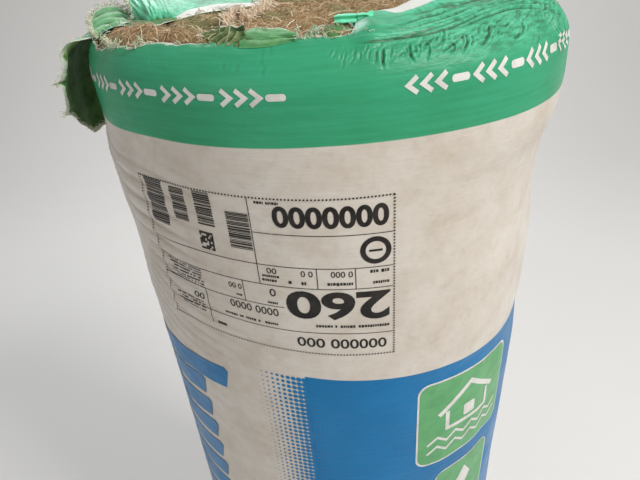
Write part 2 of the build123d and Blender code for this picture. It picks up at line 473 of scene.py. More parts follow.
def ring_wrinkles(s, rise):
    """Fine wrinkles in arcs at the far right of the shoulder."""
    away = np.hypot(s - 1.02 * ROLL_RADIUS, 1.3 * (rise - 0.30 * QUARTER))
    return ARC_HEIGHT * np.cos(2 * math.pi * away / ARC_PITCH) * np.exp(-((away - 0.017) / 0.010)**2)


print("groove at its middle", round(float(groove(0.0, 0.001)), 3))

# %% Folds and pleats of the ends
PLEAT_COUNT = 18
PLEAT_LEAN = 0.62
FOLDS = [
    ((0.24, -0.770), (0.88, -0.12)), ((0.34, -0.680), (0.90, 0.04)), ((0.40, -0.560), (0.88, 0.18)),
    ((0.47, -0.380), (0.78, 0.24)), ((0.50, -0.150), (0.62, 0.34)), ((-0.06, -0.885), (-0.50, -0.76)),
]


def long_fold(x, y, start, end, width, height):
    """A ridge from start to end that widens as it goes, in parts of the radius."""
    (ax, ay), (bx, by) = [(px * ROLL_RADIUS, py * ROLL_RADIUS) for px, py in (start, end)]
    length = math.hypot(bx - ax, by - ay)
    along = ((x - ax) * (bx - ax) + (y - ay) * (by - ay)) / length**2
    across = ((x - ax) * (by - ay) - (y - ay) * (bx - ax)) / length
    reach = width * (0.45 + 0.75 * np.clip(along, 0, 1))
    ridge = np.exp(-np.abs(across / reach)**1.3) - 0.8 * np.exp(-((across - 1.9 * reach) / reach)**2)
    return height * ridge * smooth(along / 0.12) * smooth((1.05 - along) / 0.35)


def end_relief(s, x, y, rise):
    """Height of the pleats and folds on one end, where rise is the way up from the side."""
    radius = np.hypot(x, y)
    on_end = smooth((rise - 0.5 * QUARTER) / (0.8 * QUARTER))
    lean = PLEAT_LEAN * np.log(np.maximum(radius, 0.03) / ROLL_RADIUS)
    phase = (s / ROLL_RADIUS + lean) / (2 * math.pi) * PLEAT_COUNT + 0.4 * noise(x, y, 0, 0.09, 12)
    saw = phase - np.floor(phase)
    pleat = smooth(saw / 0.12) * (1 - saw)
    behind = smooth((y / ROLL_RADIUS + 0.1) / 0.3)
    height = 0.0008 + 0.0034 * behind
    return on_end * height * pleat * smooth((RING_START + 0.012 - radius) / 0.05)


def top_folds(x, y):
    """Long folds that fan out over the top from the pocket at the front."""
    wx = x + 0.0025 * noise(x, y, 0, 0.06, 14)
    wy = y + 0.0025 * noise(x, y, 0, 0.06, 15)
    total = 0
    for number, (start, end) in enumerate(FOLDS):
        height = 0.0022 if number % 3 == 0 else 0.0016
        width = 0.0042 if number % 2 == 0 else 0.0032
        total = total + long_fold(wx, wy, start, end, width, height)
    return total + 0.0007 * noise(x, y, 0, 0.014, 16)


print("pleats", PLEAT_COUNT, "folds", len(FOLDS))

# %% The film stands up along the cut at the right
LIP_RISE = 0.0062
LIP_WIDTH = 0.032
CURL_RISE = 0.0014
CURL_WIDTH = 0.014
LOWEST_FILM = 0.0002


def lip(x, y, edge):
    """Rise of the film towards the cut edge right of the pocket."""
    right = smooth((x / ROLL_RADIUS - 0.075) / 0.095) * smooth((0.45 - y / ROLL_RADIUS) / 0.4)
    return LIP_RISE * right * smooth(1 - np.maximum(edge, 0) / LIP_WIDTH)


print("lip", LIP_RISE, "high")

# %% Any point of the film
def fold_height(s, h, x, y, edge):
    """Height of all creases and folds over the shoulder and the top. They die out towards the cut."""
    rise = h - SIDE_TOP
    fold_share = smooth((x / ROLL_RADIUS - 0.02) / 0.2) * smooth((0.25 - y / ROLL_RADIUS) / 0.25)
    total = creases(s, rise) + end_relief(s, x, y, rise) * (1 - fold_share)
    total = total + top_folds(x, y) * smooth((rise - 0.6 * QUARTER) / QUARTER) + ring_wrinkles(s, rise)
    return total * smooth((edge - 0.003) / 0.016) * (h > SIDE_TOP - 0.04)


def film_points(s, h, lift=0):
    """Places of chart points (s, h) on the film, lifted off it along the plain normal."""
    s, h = np.broadcast_arrays(np.asarray(s, float), np.asarray(h, float))
    radius, z, out, up = profile(h)
    z = z - slip(s, h)
    angle = s / ROLL_RADIUS - math.pi / 2
    ahead_x, ahead_y = np.cos(angle), np.sin(angle)
    x, y = radius * ahead_x, radius * ahead_y
    rise = h - SIDE_TOP
    on_top, on_foot = smooth(rise / QUARTER), smooth((RIM - h) / QUARTER)
    relief = side_relief(s, h, x, y, z) * (1 - 0.75 * on_top)
    relief = relief * (1 - on_foot)
    edge = opening_distance(x, y)
    over_end = fold_height(s, h, x, y, edge)
    curl = CURL_RISE * smooth(1 - edge / CURL_WIDTH) * (0.5 + layered(x, y, 0, 0.03, 17, 2))
    over_end = over_end + (curl + lip(x, y, edge)) * on_top
    relief = relief + np.where(h > SIDE_TOP - 0.04, over_end, 0)
    relief = relief + lift
    reach = radius + out * relief
    return np.stack([reach * ahead_x, reach * ahead_y, np.maximum(z + up * relief, LOWEST_FILM)], -1)


print("front of the band", film_points(0, 1.141).round(4))

# %% [markdown]
# Now the sheet itself: a grid over the chart, closer where the wrinkles are fine. Its two
# meshes meet at the lower edge of the green band, so that neither grows too heavy. Where a face
# of the grid crosses the opening's edge it is clipped along it, so the edge runs ragged but
# clean, without stair steps. Each corner keeps its chart place as the film's own UV map, and
# the print reads that map.

# %% Clip a grid along an edge
def clipped_faces(keep, closed):
    """Faces of a grid of rows and columns where keep is positive, as lists of corners. A corner
    is (row, column), or two of them and the share of the way between them."""
    rows, columns = keep.shape
    faces = []
    for i in range(rows - 1):
        for j in range(columns if closed else columns - 1):
            ring = [(i, j), (i, (j + 1) % columns), (i + 1, (j + 1) % columns), (i + 1, j)]
            held = [keep[corner] > 0 for corner in ring]
            if all(held):
                faces.append(ring)
            elif any(held):
                face = []
                for here, there, stays, goes in zip(ring, ring[1:] + ring[:1], held, held[1:] + held[:1]):
                    if stays:
                        face.append(here)
                    if stays != goes:
                        first, second = sorted((here, there))
                        share = keep[first] / (keep[first] - keep[second])
                        face.append((first, second, round(float(share), 6)))
                if len(face) > 2:
                    faces.append(face)
    return faces


print("faces of a grid of 3 by 3", len(clipped_faces(np.ones((3, 3)), False)))


# %% Build a sheet from a chart
def mesh_of(name, points, faces):
    """A mesh from points and from faces as lists of their points' numbers."""
    mesh = bpy.data.meshes.new(name)
    mesh.from_pydata(points, [], faces)
    return mesh


def smooth_faces(mesh):
    """Shade a mesh softly over its edges."""
    mesh.polygons.foreach_set("use_smooth", [True] * len(mesh.polygons))


def read_numbers(holders, name):
    """One whole number of each loop or face of a mesh."""
    numbers = np.empty(len(holders), dtype=np.int32)
    holders.foreach_get(name, numbers)
    return numbers


def loop_points(mesh):
    """The number of the point at each corner of each face."""
    return read_numbers(mesh.loops, "vertex_index")


def sheet_mesh(name, chart_s, chart_h, keep, place, closed=False, whole=0):
    """A mesh object from a chart grid, with the chart place of each corner in a UV map."""
    faces = clipped_faces(keep, closed)
    numbers, charts, polygons = {}, [], []
    for face in faces:
        polygon = []
        for corner in face:
            if corner not in numbers:
                numbers[corner] = len(charts)
                if len(corner) == 2:
                    charts.append((chart_s[corner], chart_h[corner]))
                else:
                    first, second, share = corner
                    far_s = chart_s[second]
                    if closed and abs(far_s - chart_s[first]) > whole / 2:
                        far_s += math.copysign(whole, chart_s[first] - far_s)
                    charts.append((
                        chart_s[first] + (far_s - chart_s[first]) * share,
                        chart_h[first] + (chart_h[second] - chart_h[first]) * share,
                    ))
            polygon.append(numbers[corner])
        polygons.append(polygon)
    charts = np.array(charts)
    mesh = mesh_of(name, place(charts[:, 0], charts[:, 1]).tolist(), polygons)
    uv = charts[loop_points(mesh)]
    if closed:
        starts, counts = [read_numbers(mesh.polygons, name) for name in ("loop_start", "loop_total")]
        highest = np.repeat(np.maximum.reduceat(uv[:, 0], starts), counts)
        uv[:, 0] += np.where(highest - uv[:, 0] > whole / 2, whole, 0)
    layer = mesh.uv_layers.new(name="chart")
    layer.data.foreach_set("uv", uv.ravel())
    smooth_faces(mesh)
    mesh.update()
    return place_piece(name, mesh), charts


# %% The film sleeve's rows and columns
# Turns round the roll where the columns' spacing changes, and the columns of each stretch.
COLUMN_STRETCHES = [(-math.pi, -1.25, 92), (-1.25, -0.02, 236), (-0.02, 1.32, 490), (1.32, math.pi, 96)]
FOOT_RING_INNER = 0.096
TOP_RING_INNER = 0.058
BAND_EDGE = 1.1387
ROW_STRETCHES = [
    (FOOT_CREST - (RING_START - FOOT_RING_INNER), FOOT_CREST, 8),
    (FOOT_CREST, RIM, 6),
    (RIM, 0.74, 30),
    (0.74, 0.86, 34),
    (0.86, BAND_EDGE, 110),
    (BAND_EDGE, SIDE_TOP, 9),
    (SIDE_TOP, SIDE_TOP + 0.010, 7),
    (SIDE_TOP + 0.010, CREST + 0.016, 72),
    (CREST + 0.016, CREST + RING_START - TOP_RING_INNER, 28),
]


def film_rows():
    """Film heights of the grid's rows, from the foot ring's inner edge to the top ring's."""
    found = []
    for low, high, count in ROW_STRETCHES:
        found.extend(np.linspace(low, high, count, endpoint=False))
    return np.array(found + [ROW_STRETCHES[-1][1]])


def film_columns():
    """Places round the roll of the grid's columns, closer on the side that faces the camera."""
    parts = [np.linspace(low, high, count, endpoint=False) for low, high, count in COLUMN_STRETCHES]
    return np.concatenate(parts) * ROLL_RADIUS


print("rows", len(film_rows()), "columns", len(film_columns()))

# %% The film sleeve
heights = film_rows()
ring_s = film_columns()
grid_s, grid_h = np.meshgrid(ring_s, heights)
film_keep = np.where(grid_h > SIDE_TOP, opening_distance(*plan_place(grid_s, grid_h)), 1.0)
ROUND = 2 * math.pi * ROLL_RADIUS


def flat_area(piece):
    """Area of a sheet's faces on the flat chart, which is the film it was cut from."""
    uv = np.empty(2 * len(piece.data.loops))
    piece.data.uv_layers["chart"].data.foreach_get("uv", uv)
    s, h = uv[0::2], uv[1::2]
    total = 0.0
    for face in piece.data.polygons:
        loops = np.arange(face.loop_start, face.loop_start + face.loop_total)
        ahead = np.roll(loops, -1)
        total += abs(float(np.dot(s[loops], h[ahead]) - np.dot(s[ahead], h[loops]))) / 2
    return total


split = int(np.searchsorted(heights, BAND_EDGE - 1e-6))
low_part, high_part = slice(0, split + 1), slice(split, len(heights))
# The sleeve keeps every second column, the crown all of them.
COARSE = 2


def film_sheet(name, part):
    """One part of the film's grid, its rows and columns given as slices, as a closed sheet."""
    return sheet_mesh(name, grid_s[part], grid_h[part], film_keep[part], film_points, True, ROUND)


sleeve, sleeve_charts = film_sheet("film_sleeve", (low_part, slice(None, None, COARSE)))
crown, crown_charts = film_sheet("film_crown", (high_part, slice(None)))
for piece in (sleeve, crown):
    print(piece.name, len(piece.data.polygons), "faces")

# %% [markdown]
# The print has to follow each wrinkle of the film, so it isn't laid on the plain profile but on
# the film's own grid: a printed point is blended from the four grid corners round it, and moved
# a hair outwards. Printed shapes are drawn flat on the chart and cut along the grid's lines
# first, so that none of them bridges a fold.

# %% Places on the film's own grid
film_grid = film_points(grid_s, grid_h)
along_s = np.roll(film_grid, -1, axis=1) - np.roll(film_grid, 1, axis=1)
along_h = np.gradient(film_grid, axis=0)
film_normals = np.cross(along_s, along_h)
film_normals /= np.linalg.norm(film_normals, axis=-1, keepdims=True) + 1e-12


def on_film(s, h, lift, step=COARSE):
    """Places of chart points on the film mesh itself, lifted a hair along its normal. Step is 1
    on the crown, which keeps all columns, and COARSE on the sleeve."""
    points, normals = film_grid[:, ::step], film_normals[:, ::step]
    columns = ring_s[::step]
    column = np.interp(s, np.append(columns, math.pi * ROLL_RADIUS), np.arange(len(columns) + 1))
    row = np.interp(h, heights, np.arange(len(heights)))
    j = np.floor(column).astype(int)
    i = np.minimum(np.floor(row).astype(int), len(heights) - 2)
    across, up = (column - j)[..., None], (row - i)[..., None]
    total = 0
    for di, share_i in ((0, 1 - up), (1, up)):
        for dj, share_j in ((0, 1 - across), (1, across)):
            corner = (i + di, (j + dj) % len(columns))
            total = total + share_i * share_j * (points[corner] + lift * normals[corner])
    return total


print("front of the print", on_film(np.array([0.0]), np.array([1.0]), 0.0003).round(4))


# %% Lay flat print on the film
def places_of(vertices):
    """The places of vertices as one array."""
    return np.array([vertex.co for vertex in vertices])


def lay_print(name, flat, lift, step=COARSE):
    """Cut a flat mesh along the film's grid lines, lay it on the film, and return the piece."""
    shape = bmesh.new()
    shape.from_mesh(flat)
    places = places_of(shape.verts)
    low_s, low_h, _ = places.min(axis=0)
    high_s, high_h, _ = places.max(axis=0)
    s_lines = [x for x in ring_s[::step] if low_s < x < high_s]
    h_lines = [x for x in heights if low_h < x < high_h]
    cuts = [((x, 0, 0), (1, 0, 0)) for x in s_lines] + [((0, x, 0), (0, 1, 0)) for x in h_lines]
    for place, normal in cuts:
        everything = shape.verts[:] + shape.edges[:] + shape.faces[:]
        bmesh.ops.bisect_plane(shape, geom=everything, dist=1e-7, plane_co=place, plane_no=normal)
    places = places_of(shape.verts)
    laid = on_film(places[:, 0], places[:, 1], lift, step)
    for vertex, place in zip(shape.verts, laid):
        vertex.co = place
    for face in shape.faces:
        face.smooth = True
    mesh = bpy.data.meshes.new(name)
    shape.to_mesh(mesh)
    shape.free()
    print(name, len(mesh.polygons), "faces")
    return place_piece(name, mesh)


def flat_mesh(polygons):
    """A flat mesh on the chart from outlines given in metres."""
    points, faces = [], []
    for outline in polygons:
        area = sum(ax * by - bx * ay for (ax, ay), (bx, by) in zip(outline, outline[1:] + outline[:1]))
        ordered = outline if area > 0 else outline[::-1]
        faces.append(list(range(len(points), len(points) + len(ordered))))
        points.extend((x, y, 0) for x, y in ordered)
    mesh = mesh_of("flat", points, faces)
    mesh.update()
    return mesh


print("print is cut along", len(heights), "rows")


# %% Flat shapes of the print
def bar(s0, h0, s1, h1):
    """Outline of an upright box between two corners."""
    return [(s0, h0), (s1, h0), (s1, h1), (s0, h1)]


def line_of(points, width):
    """Outlines of a line with mitred corners, so that its parts don't lie on each other."""
    points = np.array(points, float)
    along = np.diff(points, axis=0)
    along /= np.linalg.norm(along, axis=1, keepdims=True)
    sides = np.stack([-along[:, 1], along[:, 0]], -1)
    before, after = np.concatenate([sides[:1], sides]), np.concatenate([sides, sides[-1:]])
    mitre = (before + after) / (1 + (before * after).sum(axis=1, keepdims=True)) * width / 2
    upper, lower = (points + mitre).tolist(), (points - mitre).tolist()
    return [[upper[k], upper[k + 1], lower[k + 1], lower[k]] for k in range(len(points) - 1)]


def rounded(s0, h0, s1, h1, radius, steps=5):
    """Outline of a box with round corners."""
    outline = []
    left, right, low, high = s0 + radius, s1 - radius, h0 + radius, h1 - radius
    for quarter, (cx, cy) in enumerate([(right, high), (left, high), (left, low), (right, low)]):
        for step in range(steps + 1):
            angle = math.pi / 2 * (quarter + step / steps)
            outline.append((cx + radius * math.cos(angle), cy + radius * math.sin(angle)))
    return outline


def ring(cx, cy, outer, inner, steps=28):
    """Quads of a flat ring."""
    quads = []
    for step in range(steps):
        a, b = 2 * math.pi * step / steps, 2 * math.pi * (step + 1) / steps
        corners = [(outer, a), (outer, b), (inner, b), (inner, a)]
        quads.append([(cx + reach * math.cos(turn), cy + reach * math.sin(turn)) for reach, turn in corners])
    return quads


print("a rounded box has", len(rounded(0, 0, 1, 1, 0.1)), "corners")

# %% [markdown]
# The printed panel stands on its head, because the roll does. It is drawn the way it is read,
# in metres from its lower left corner, and turned half round when it is put on the chart. Words
# and codes are left as plain bars, and only the plain figures are real lettering.

# %% The printed panel
PANEL_RIGHT_S = 0.21 * ROLL_RADIUS
PANEL_FOOT_H = 1.1027
PANEL_WIDTH = 0.206
PANEL_TOP = 0.0022
PANEL_HEIGHT = 0.1482
RULE = 0.0006
rng = np.random.default_rng(11)


def panel(x, y):
    """Chart place of a point of the panel, x and y in metres from its lower left corner."""
    return PANEL_RIGHT_S - x, PANEL_FOOT_H - y


def panel_bar(x0, y0, x1, y1):
    """A filled box on the panel."""
    return bar(*panel(x0, y0), *panel(x1, y1))


def words(x0, x1, y, height, letter=0.72):
    """A line of unread words: short bars of uneven width."""
    found = []
    x = x0
    while x < x1 - 0.4 * height:
        width = height * letter * rng.uniform(0.45, 1.15)
        if rng.random() > 0.16:
            found.append(panel_bar(x, y, min(x + width, x1), y + height * rng.uniform(0.82, 1.0)))
        x += width + 0.30 * height * letter
    return found


def code_bars(x0, x1, y0, y1, thinnest=0.00045):
    """A block of bars like a bar code's, running across the panel from x0 to x1."""
    found = []
    y = y0
    while y < y1:
        width = thinnest * rng.choice([1, 1, 1.6, 2.2, 3.2])
        found.append(panel_bar(x0, y, x1, min(y + width, y1)))
        y += width + thinnest * rng.choice([1, 1, 1.5, 2.4])
    return found


# Left and right end, and height above the panel's lower edge.
LEVEL_RULES = [
    (0.0010, 0.1040, 0.0313), (0.0010, PANEL_WIDTH, 0.0603), (0.0010, PANEL_WIDTH, 0.0796),
    (0.0870, PANEL_WIDTH, 0.1008), (0.0010, PANEL_WIDTH, 0.1250),
]
# Place from the left, lower and upper end.
UPRIGHT_RULES = [
    (0.1040, PANEL_TOP, 0.0796), (0.0585, 0.0603, 0.0796), (0.0295, 0.0603, 0.0796),
    (0.1193, 0.0796, 0.1008), (0.1582, 0.1008, 0.1400),
]
# Left, right, lower and upper side.
CODE_BLOCKS = [
    (0.1054, 0.1237, 0.0166, 0.0487), (0.135, 0.150, 0.0035, 0.0336), (0.159, 0.173, 0.005, 0.0347),
    (0.181, 0.2006, 0.0023, 0.0439),
]
# Left and right end, foot and height.
WORD_ROWS = [
    (0.004, 0.063, 0.1165, 0.0027), (0.093, 0.142, 0.1195, 0.0024), (0.004, 0.020, 0.0630, 0.0030),
    (0.032, 0.052, 0.0735, 0.0028), (0.062, 0.081, 0.0735, 0.0030), (0.004, 0.017, 0.0735, 0.0026),
    (0.088, 0.102, 0.0700, 0.0022), (0.088, 0.102, 0.0740, 0.0024), (0.092, 0.102, 0.0968, 0.0020),
    (0.122, 0.128, 0.0955, 0.0018), (0.080, 0.102, 0.0048, 0.0022),
]
SPECK_ROWS = 8
black = []
for x0, x1, y in LEVEL_RULES:
    black.append(panel_bar(x0, y, x1, y + RULE))
for x, y0, y1 in UPRIGHT_RULES:
    black.append(panel_bar(x, y0, x + RULE, y1))
for place in CODE_BLOCKS:
    black.extend(code_bars(*place))
for row in range(SPECK_ROWS):
    for column in range(SPECK_ROWS):
        if rng.random() < 0.55 or row == 0 or column == 0:
            x, y = 0.1386 + column * 0.0016, 0.0400 + row * 0.0021
            black.append(panel_bar(x, y, x + 0.0015, y + 0.0020))
for place in WORD_ROWS:
    black.extend(words(*place))
for line in range(7):
    black.extend(words(0.1588, 0.2000 - 0.004 * (line % 3), 0.0815 + 0.0031 * line, 0.0017))
for line in range(4):
    black.extend(words(0.1640, 0.1960 - 0.005 * (line % 2), 0.1190 + 0.0031 * line, 0.0017))
black.append(panel_bar(0.1440, 0.1360, 0.1530, 0.1390))
black.extend(ring(*panel(0.0140, 0.0459), 0.0118, 0.0078))
black.append(panel_bar(0.0090, 0.0450, 0.0190, 0.0468))
print("panel", len(black), "shapes")

# %% The panel's plain figures
# Text, lower left corner, width and height, and how much bolder than plain.
FIGURES = [
    ("260", (0.003, 0.0825), (0.0820, 0.0285), 0.030),
    ("0000000", (0.0040, 0.0078), (0.0830, 0.0178), 0.030),
    ("000000 000", (0.0063, 0.1312), (0.0737, 0.0102), 0.012),
    ("0000 0000", (0.0925, 0.1038), (0.0425, 0.0078), 0.004),
    ("0", (0.0925, 0.0835), (0.0050, 0.0075), 0.006),
    ("0 000", (0.0318, 0.0630), (0.0165, 0.0055), 0.004),
    ("0 0", (0.0618, 0.0630), (0.0090, 0.0055), 0.004),
    ("00", (0.0895, 0.0630), (0.0078, 0.0055), 0.004),
    ("0 00", (0.1212, 0.0845), (0.0115, 0.0055), 0.004),
    ("00", (0.1620, 0.1095), (0.0110, 0.0062), 0.004),
]


def plain_mesh(holder):
    """The mesh that a piece shows. The piece itself is taken away."""
    shown = holder.evaluated_get(bpy.context.evaluated_depsgraph_get())
    mesh = bpy.data.meshes.new_from_object(shown)
    bpy.data.objects.remove(holder)
    return mesh


def lettering(text, width, height, weight):
    """A flat mesh of plain figures, its lower left corner at zero."""
    curve = bpy.data.curves.new("figures", "FONT")
    curve.body = text
    curve.offset = weight
    curve.resolution_u = 5
    mesh = plain_mesh(place_piece("figures", curve))
    places = places_of(mesh.vertices)
    low, high = places.min(axis=0), places.max(axis=0)
    fit = Matrix.Diagonal((width / (high[0] - low[0]), height / (high[1] - low[1]), 1, 1))
    mesh.transform(fit @ Matrix.Translation(Vector(-low)))
    return mesh


panel_shape = bmesh.new()
panel_shape.from_mesh(flat_mesh(black))
for text, corner, (width, height), weight in FIGURES:
    figures = lettering(text, width, height, weight)
    figures.transform(Matrix.Translation((*panel(*corner), 0)) @ Matrix.Rotation(math.pi, 4, "Z"))
    panel_shape.from_mesh(figures)
panel_flat = bpy.data.meshes.new("panel_flat")
panel_shape.to_mesh(panel_flat)
panel_shape.free()
PRINT_LIFT = 0.00025
panel_print = lay_print("panel_print", panel_flat, PRINT_LIFT)

# %% [markdown]
# Round dots repeat along the panel's border and thin out the blue field's left edge. Both are
# one Geometry Nodes tree: a grid of points in rows and columns, and a disc on each point that
# grows from the left side to the right one.

# %% Geometry Nodes: trees with named inputs
def node(tree, kind, inputs=None, **settings):
    """Add a node, set what it is given, and link the inputs that are sockets."""
    made = tree.nodes.new(kind)
    for key, value in settings.items():
        setattr(made, key, value)
    for key, value in (inputs or {}).items():
        if isinstance(value, bpy.types.NodeSocket):
            tree.links.new(value, made.inputs[key])
        else:
            made.inputs[key].default_value = value
    return made


def math_node(tree, operation, first, second=0.0, clamp=False):
    """One step of arithmetic."""
    made = node(tree, "ShaderNodeMath", {0: first, 1: second}, operation=operation, use_clamp=clamp)
    return made.outputs[0]


def times(tree, first, second):
    """Product of two values."""
    return math_node(tree, "MULTIPLY", first, second)


def plus(tree, first, second, clamp=False):
    """Sum of two values, kept from 0 to 1 if it is clamped."""
    return math_node(tree, "ADD", first, second, clamp)


def spread(tree, value, low, high, to_low=0.0, to_high=1.0):
    """A value's way from low to high, laid out between two others."""
    span = {"From Min": low, "From Max": high, "To Min": to_low, "To Max": to_high}
    return node(tree, "ShaderNodeMapRange", {"Value": value, **span}).outputs[0]


def vector_of(tree, **parts):
    """A vector from its parts X, Y and Z."""
    return node(tree, "ShaderNodeCombineXYZ", parts).outputs[0]


def geometry_tree(name, inputs):
    """A Geometry Nodes tree with named inputs, and the sockets that give them."""
    tree = bpy.data.node_groups.new(name, "GeometryNodeTree")
    tree.interface.new_socket("Geometry", in_out="OUTPUT", socket_type="NodeSocketGeometry")
    for label, kind in inputs.items():
        tree.interface.new_socket(label, in_out="INPUT", socket_type="NodeSocket" + kind)
    return tree, tree.nodes.new("NodeGroupInput").outputs


def dressed_result(tree, instances, stock):
    """The end of a tree: its instances are made real, get their stock and are handed out."""
    real = node(tree, "GeometryNodeRealizeInstances", {"Geometry": instances.outputs[0]})
    dressed = node(tree, "GeometryNodeSetMaterial", {"Geometry": real.outputs[0], "Material": stock})
    tree.links.new(dressed.outputs[0], tree.nodes.new("NodeGroupOutput").inputs[0])
    print(tree.name, "tree", len(tree.nodes), "nodes")
    return tree


def grown(name, tree, values, ground=None):
    """Run a tree on a mesh, or on an empty one, and keep its result as a plain mesh."""
    holder = place_piece(name, ground or bpy.data.meshes.new(name))
    modifier = holder.modifiers.new("nodes", "NODES")
    modifier.node_group = tree
    for item in tree.interface.items_tree:
        if item.item_type == "SOCKET" and item.in_out == "INPUT" and item.name in values:
            modifier[item.identifier] = values[item.name]
    return plain_mesh(holder)


# %% Dots by Geometry Nodes
DOT_CORNERS = 10


def dot_tree():
    """Geometry Nodes for a field of dots between two corners of the chart."""
    tree, given = geometry_tree("dot_field", {
        "Columns": "Int", "Rows": "Int", "Column Pitch": "Float", "Row Pitch": "Float",
        "Left Radius": "Float", "Right Radius": "Float", "Ink": "Material",
    })
    count = times(tree, given["Columns"], given["Rows"])
    points = node(tree, "GeometryNodePoints", {"Count": count})
    index = tree.nodes.new("GeometryNodeInputIndex").outputs[0]
    row = math_node(tree, "FLOOR", math_node(tree, "DIVIDE", index, given["Columns"]))
    column = math_node(tree, "MODULO", index, given["Columns"])
    x = times(tree, column, given["Column Pitch"])
    y = times(tree, row, given["Row Pitch"])
    placed = node(tree, "GeometryNodeSetPosition", {
        "Geometry": points.outputs[0], "Position": vector_of(tree, X=x, Y=y),
    })
    radius = spread(tree, column, 0.0, given["Columns"], given["Left Radius"], given["Right Radius"])
    disc = node(tree, "GeometryNodeMeshCircle", {"Vertices": DOT_CORNERS, "Radius": 1.0}, fill_type="NGON")
    dots = node(tree, "GeometryNodeInstanceOnPoints", {
        "Points": placed.outputs[0], "Instance": disc.outputs[0], "Scale": radius,
    })
    return dressed_result(tree, dots, given["Ink"])


dots_tree = dot_tree()

# %% [markdown]
# Printing ink on film shares the film's own skin: a satin gloss with a fine crinkle in it. One
# function makes that skin, and each ink gives it only its colour.

# %% The colours of film and inks
FILM_WHITE = (0.70, 0.66, 0.60, 1)
FILM_WHITE_DIM = (0.54, 0.465, 0.375, 1)
FILM_WHITE_SHADE = (0.30, 0.235, 0.175, 1)
FILM_GREEN = (0.047, 0.385, 0.205, 1)
FILM_GREEN_DEEP = (0.028, 0.265, 0.110, 1)
# Painted light: the film's green where it is lit or where light comes through it.
LIT_GREEN = (0.150, 0.640, 0.400, 1)
LIT_GREEN_DEEP = (0.070, 0.450, 0.230, 1)
FILM_BLUE = (0.000, 0.180, 0.435, 1)
FILM_BLUE_DEEP = (0.000, 0.140, 0.350, 1)
PANEL_GREEN = (0.125, 0.40, 0.16, 1)
INNER_GREEN = (0.200, 0.500, 0.250, 1)
INNER_GREEN_DEEP = (0.100, 0.340, 0.130, 1)
# Painted shade: the film's green as it looks in shade, for the crumpled film at the front.
SHADE_OLIVE = (0.130, 0.190, 0.070, 1)
SHADE_OLIVE_DEEP = (0.070, 0.115, 0.038, 1)
# Painted shade: the green put into the valleys of folds, creases and streaks.
VALLEY_SHADE_GREEN = (0.038, 0.088, 0.032, 1)
TORN_WHITE = (0.74, 0.76, 0.66, 1)
BLACK_INK = (0.012, 0.011, 0.010, 1)
MARGIN_WHITE = (0.74, 0.76, 0.72, 1)
WORN_BLACK = (0.035, 0.030, 0.026, 1)
print("film green", FILM_GREEN)


# %% Steps of a material
def blend_colours(tree, share, first, second):
    """Blend from the first colour to the second by a share from 0 to 1."""
    mix = tree.nodes.new("ShaderNodeMix")
    mix.data_type = "RGBA"
    for name, value in (("A", first), ("B", second)):
        socket = [x for x in mix.inputs if x.name == name and x.type == "RGBA"][0]
        if isinstance(value, bpy.types.NodeSocket):
            tree.links.new(value, socket)
        else:
            socket.default_value = value
    tree.links.new(share, mix.inputs["Factor"])
    return [x for x in mix.outputs if x.type == "RGBA"][0]


def blend_part(tree, share, most, first, second):
    """Blend as far as a share of the way to the second colour, at most."""
    return blend_colours(tree, times(tree, share, most), first, second)


def edge_mask(tree, value, edge, softness):
    """1 above an edge and 0 below it."""
    return spread(tree, value, edge - softness / 2, edge + softness / 2)


def below_edge(tree, value, edge, softness):
    """1 below an edge and 0 above it."""
    return math_node(tree, "SUBTRACT", 1.0, edge_mask(tree, value, edge, softness))


def texture_noise(tree, vector, scale, detail=3.0, roughness=0.55):
    """Value of a noise texture on a vector."""
    settings = {"Scale": scale, "Detail": detail, "Roughness": roughness}
    return node(tree, "ShaderNodeTexNoise", {"Vector": vector, **settings}).outputs["Fac"]


def scaled(tree, vector, scale, turn=0.0, shift=(0, 0, 0)):
    """A vector scaled along its axes, turned about Z and shifted."""
    settings = {"Location": shift, "Rotation": (0, 0, turn), "Scale": scale}
    return node(tree, "ShaderNodeMapping", {"Vector": vector, **settings}).outputs[0]


def between(tree, value, low, high, softness):
    """1 between two edges and 0 beyond them."""
    above_low, above_high = [edge_mask(tree, value, edge, softness) for edge in (low, high)]
    return math_node(tree, "SUBTRACT", above_low, above_high)


def kept_number(tree, name):
    """The number that a mesh keeps at each point under a name."""
    return node(tree, "ShaderNodeAttribute", attribute_name=name).outputs["Fac"]


def chart_vector(tree):
    """Place on the film's chart, in metres."""
    return node(tree, "ShaderNodeUVMap", uv_map="chart").outputs[0]


def parts_of(tree, vector):
    """The three parts of a vector."""
    return node(tree, "ShaderNodeSeparateXYZ", {0: vector}).outputs


# %% The skin that film and inks share
def stretch_lines(tree):
    """Fine level lines in the film, long along the chart's s and short along its h."""
    return texture_noise(tree, scaled(tree, chart_vector(tree), (16.0, 330.0, 1.0), 0.05), 1.0, 3.0, 0.6)


def shoulder_streaks(tree):
    """Fine crumpled streaks, and how far a place lies on the right part of the upper shoulder."""
    chart = chart_vector(tree)
    streaks = texture_noise(tree, scaled(tree, chart, (95.0, 330.0, 1.0), -0.35), 1.0, 4.0, 0.6)
    s, h, _ = parts_of(tree, chart)
    from_right = spread(tree, s, 0.02, 0.10)
    up = spread(tree, h, SIDE_TOP + 0.006, SIDE_TOP + 0.026)
    return streaks, times(tree, from_right, up)


def new_material(name, **settings):
    """A new material, its tree, its shader and the object's own vector. Settings give the
    shader's sockets, with _ for the spaces in their names."""
    material = bpy.data.materials.new(name)
    material.use_nodes = True
    tree = material.node_tree
    shader = tree.nodes["Principled BSDF"]
    for key, value in settings.items():
        shader.inputs[key.replace("_", " ")].default_value = value
    return material, tree, shader, tree.nodes.new("ShaderNodeTexCoord").outputs["Object"]


def add_bump(tree, shader, height, strength, distance):
    """Let a height bend the light on a shader."""
    bump = node(tree, "ShaderNodeBump", {"Height": height, "Strength": strength, "Distance": distance})
    tree.links.new(bump.outputs[0], shader.inputs["Normal"])


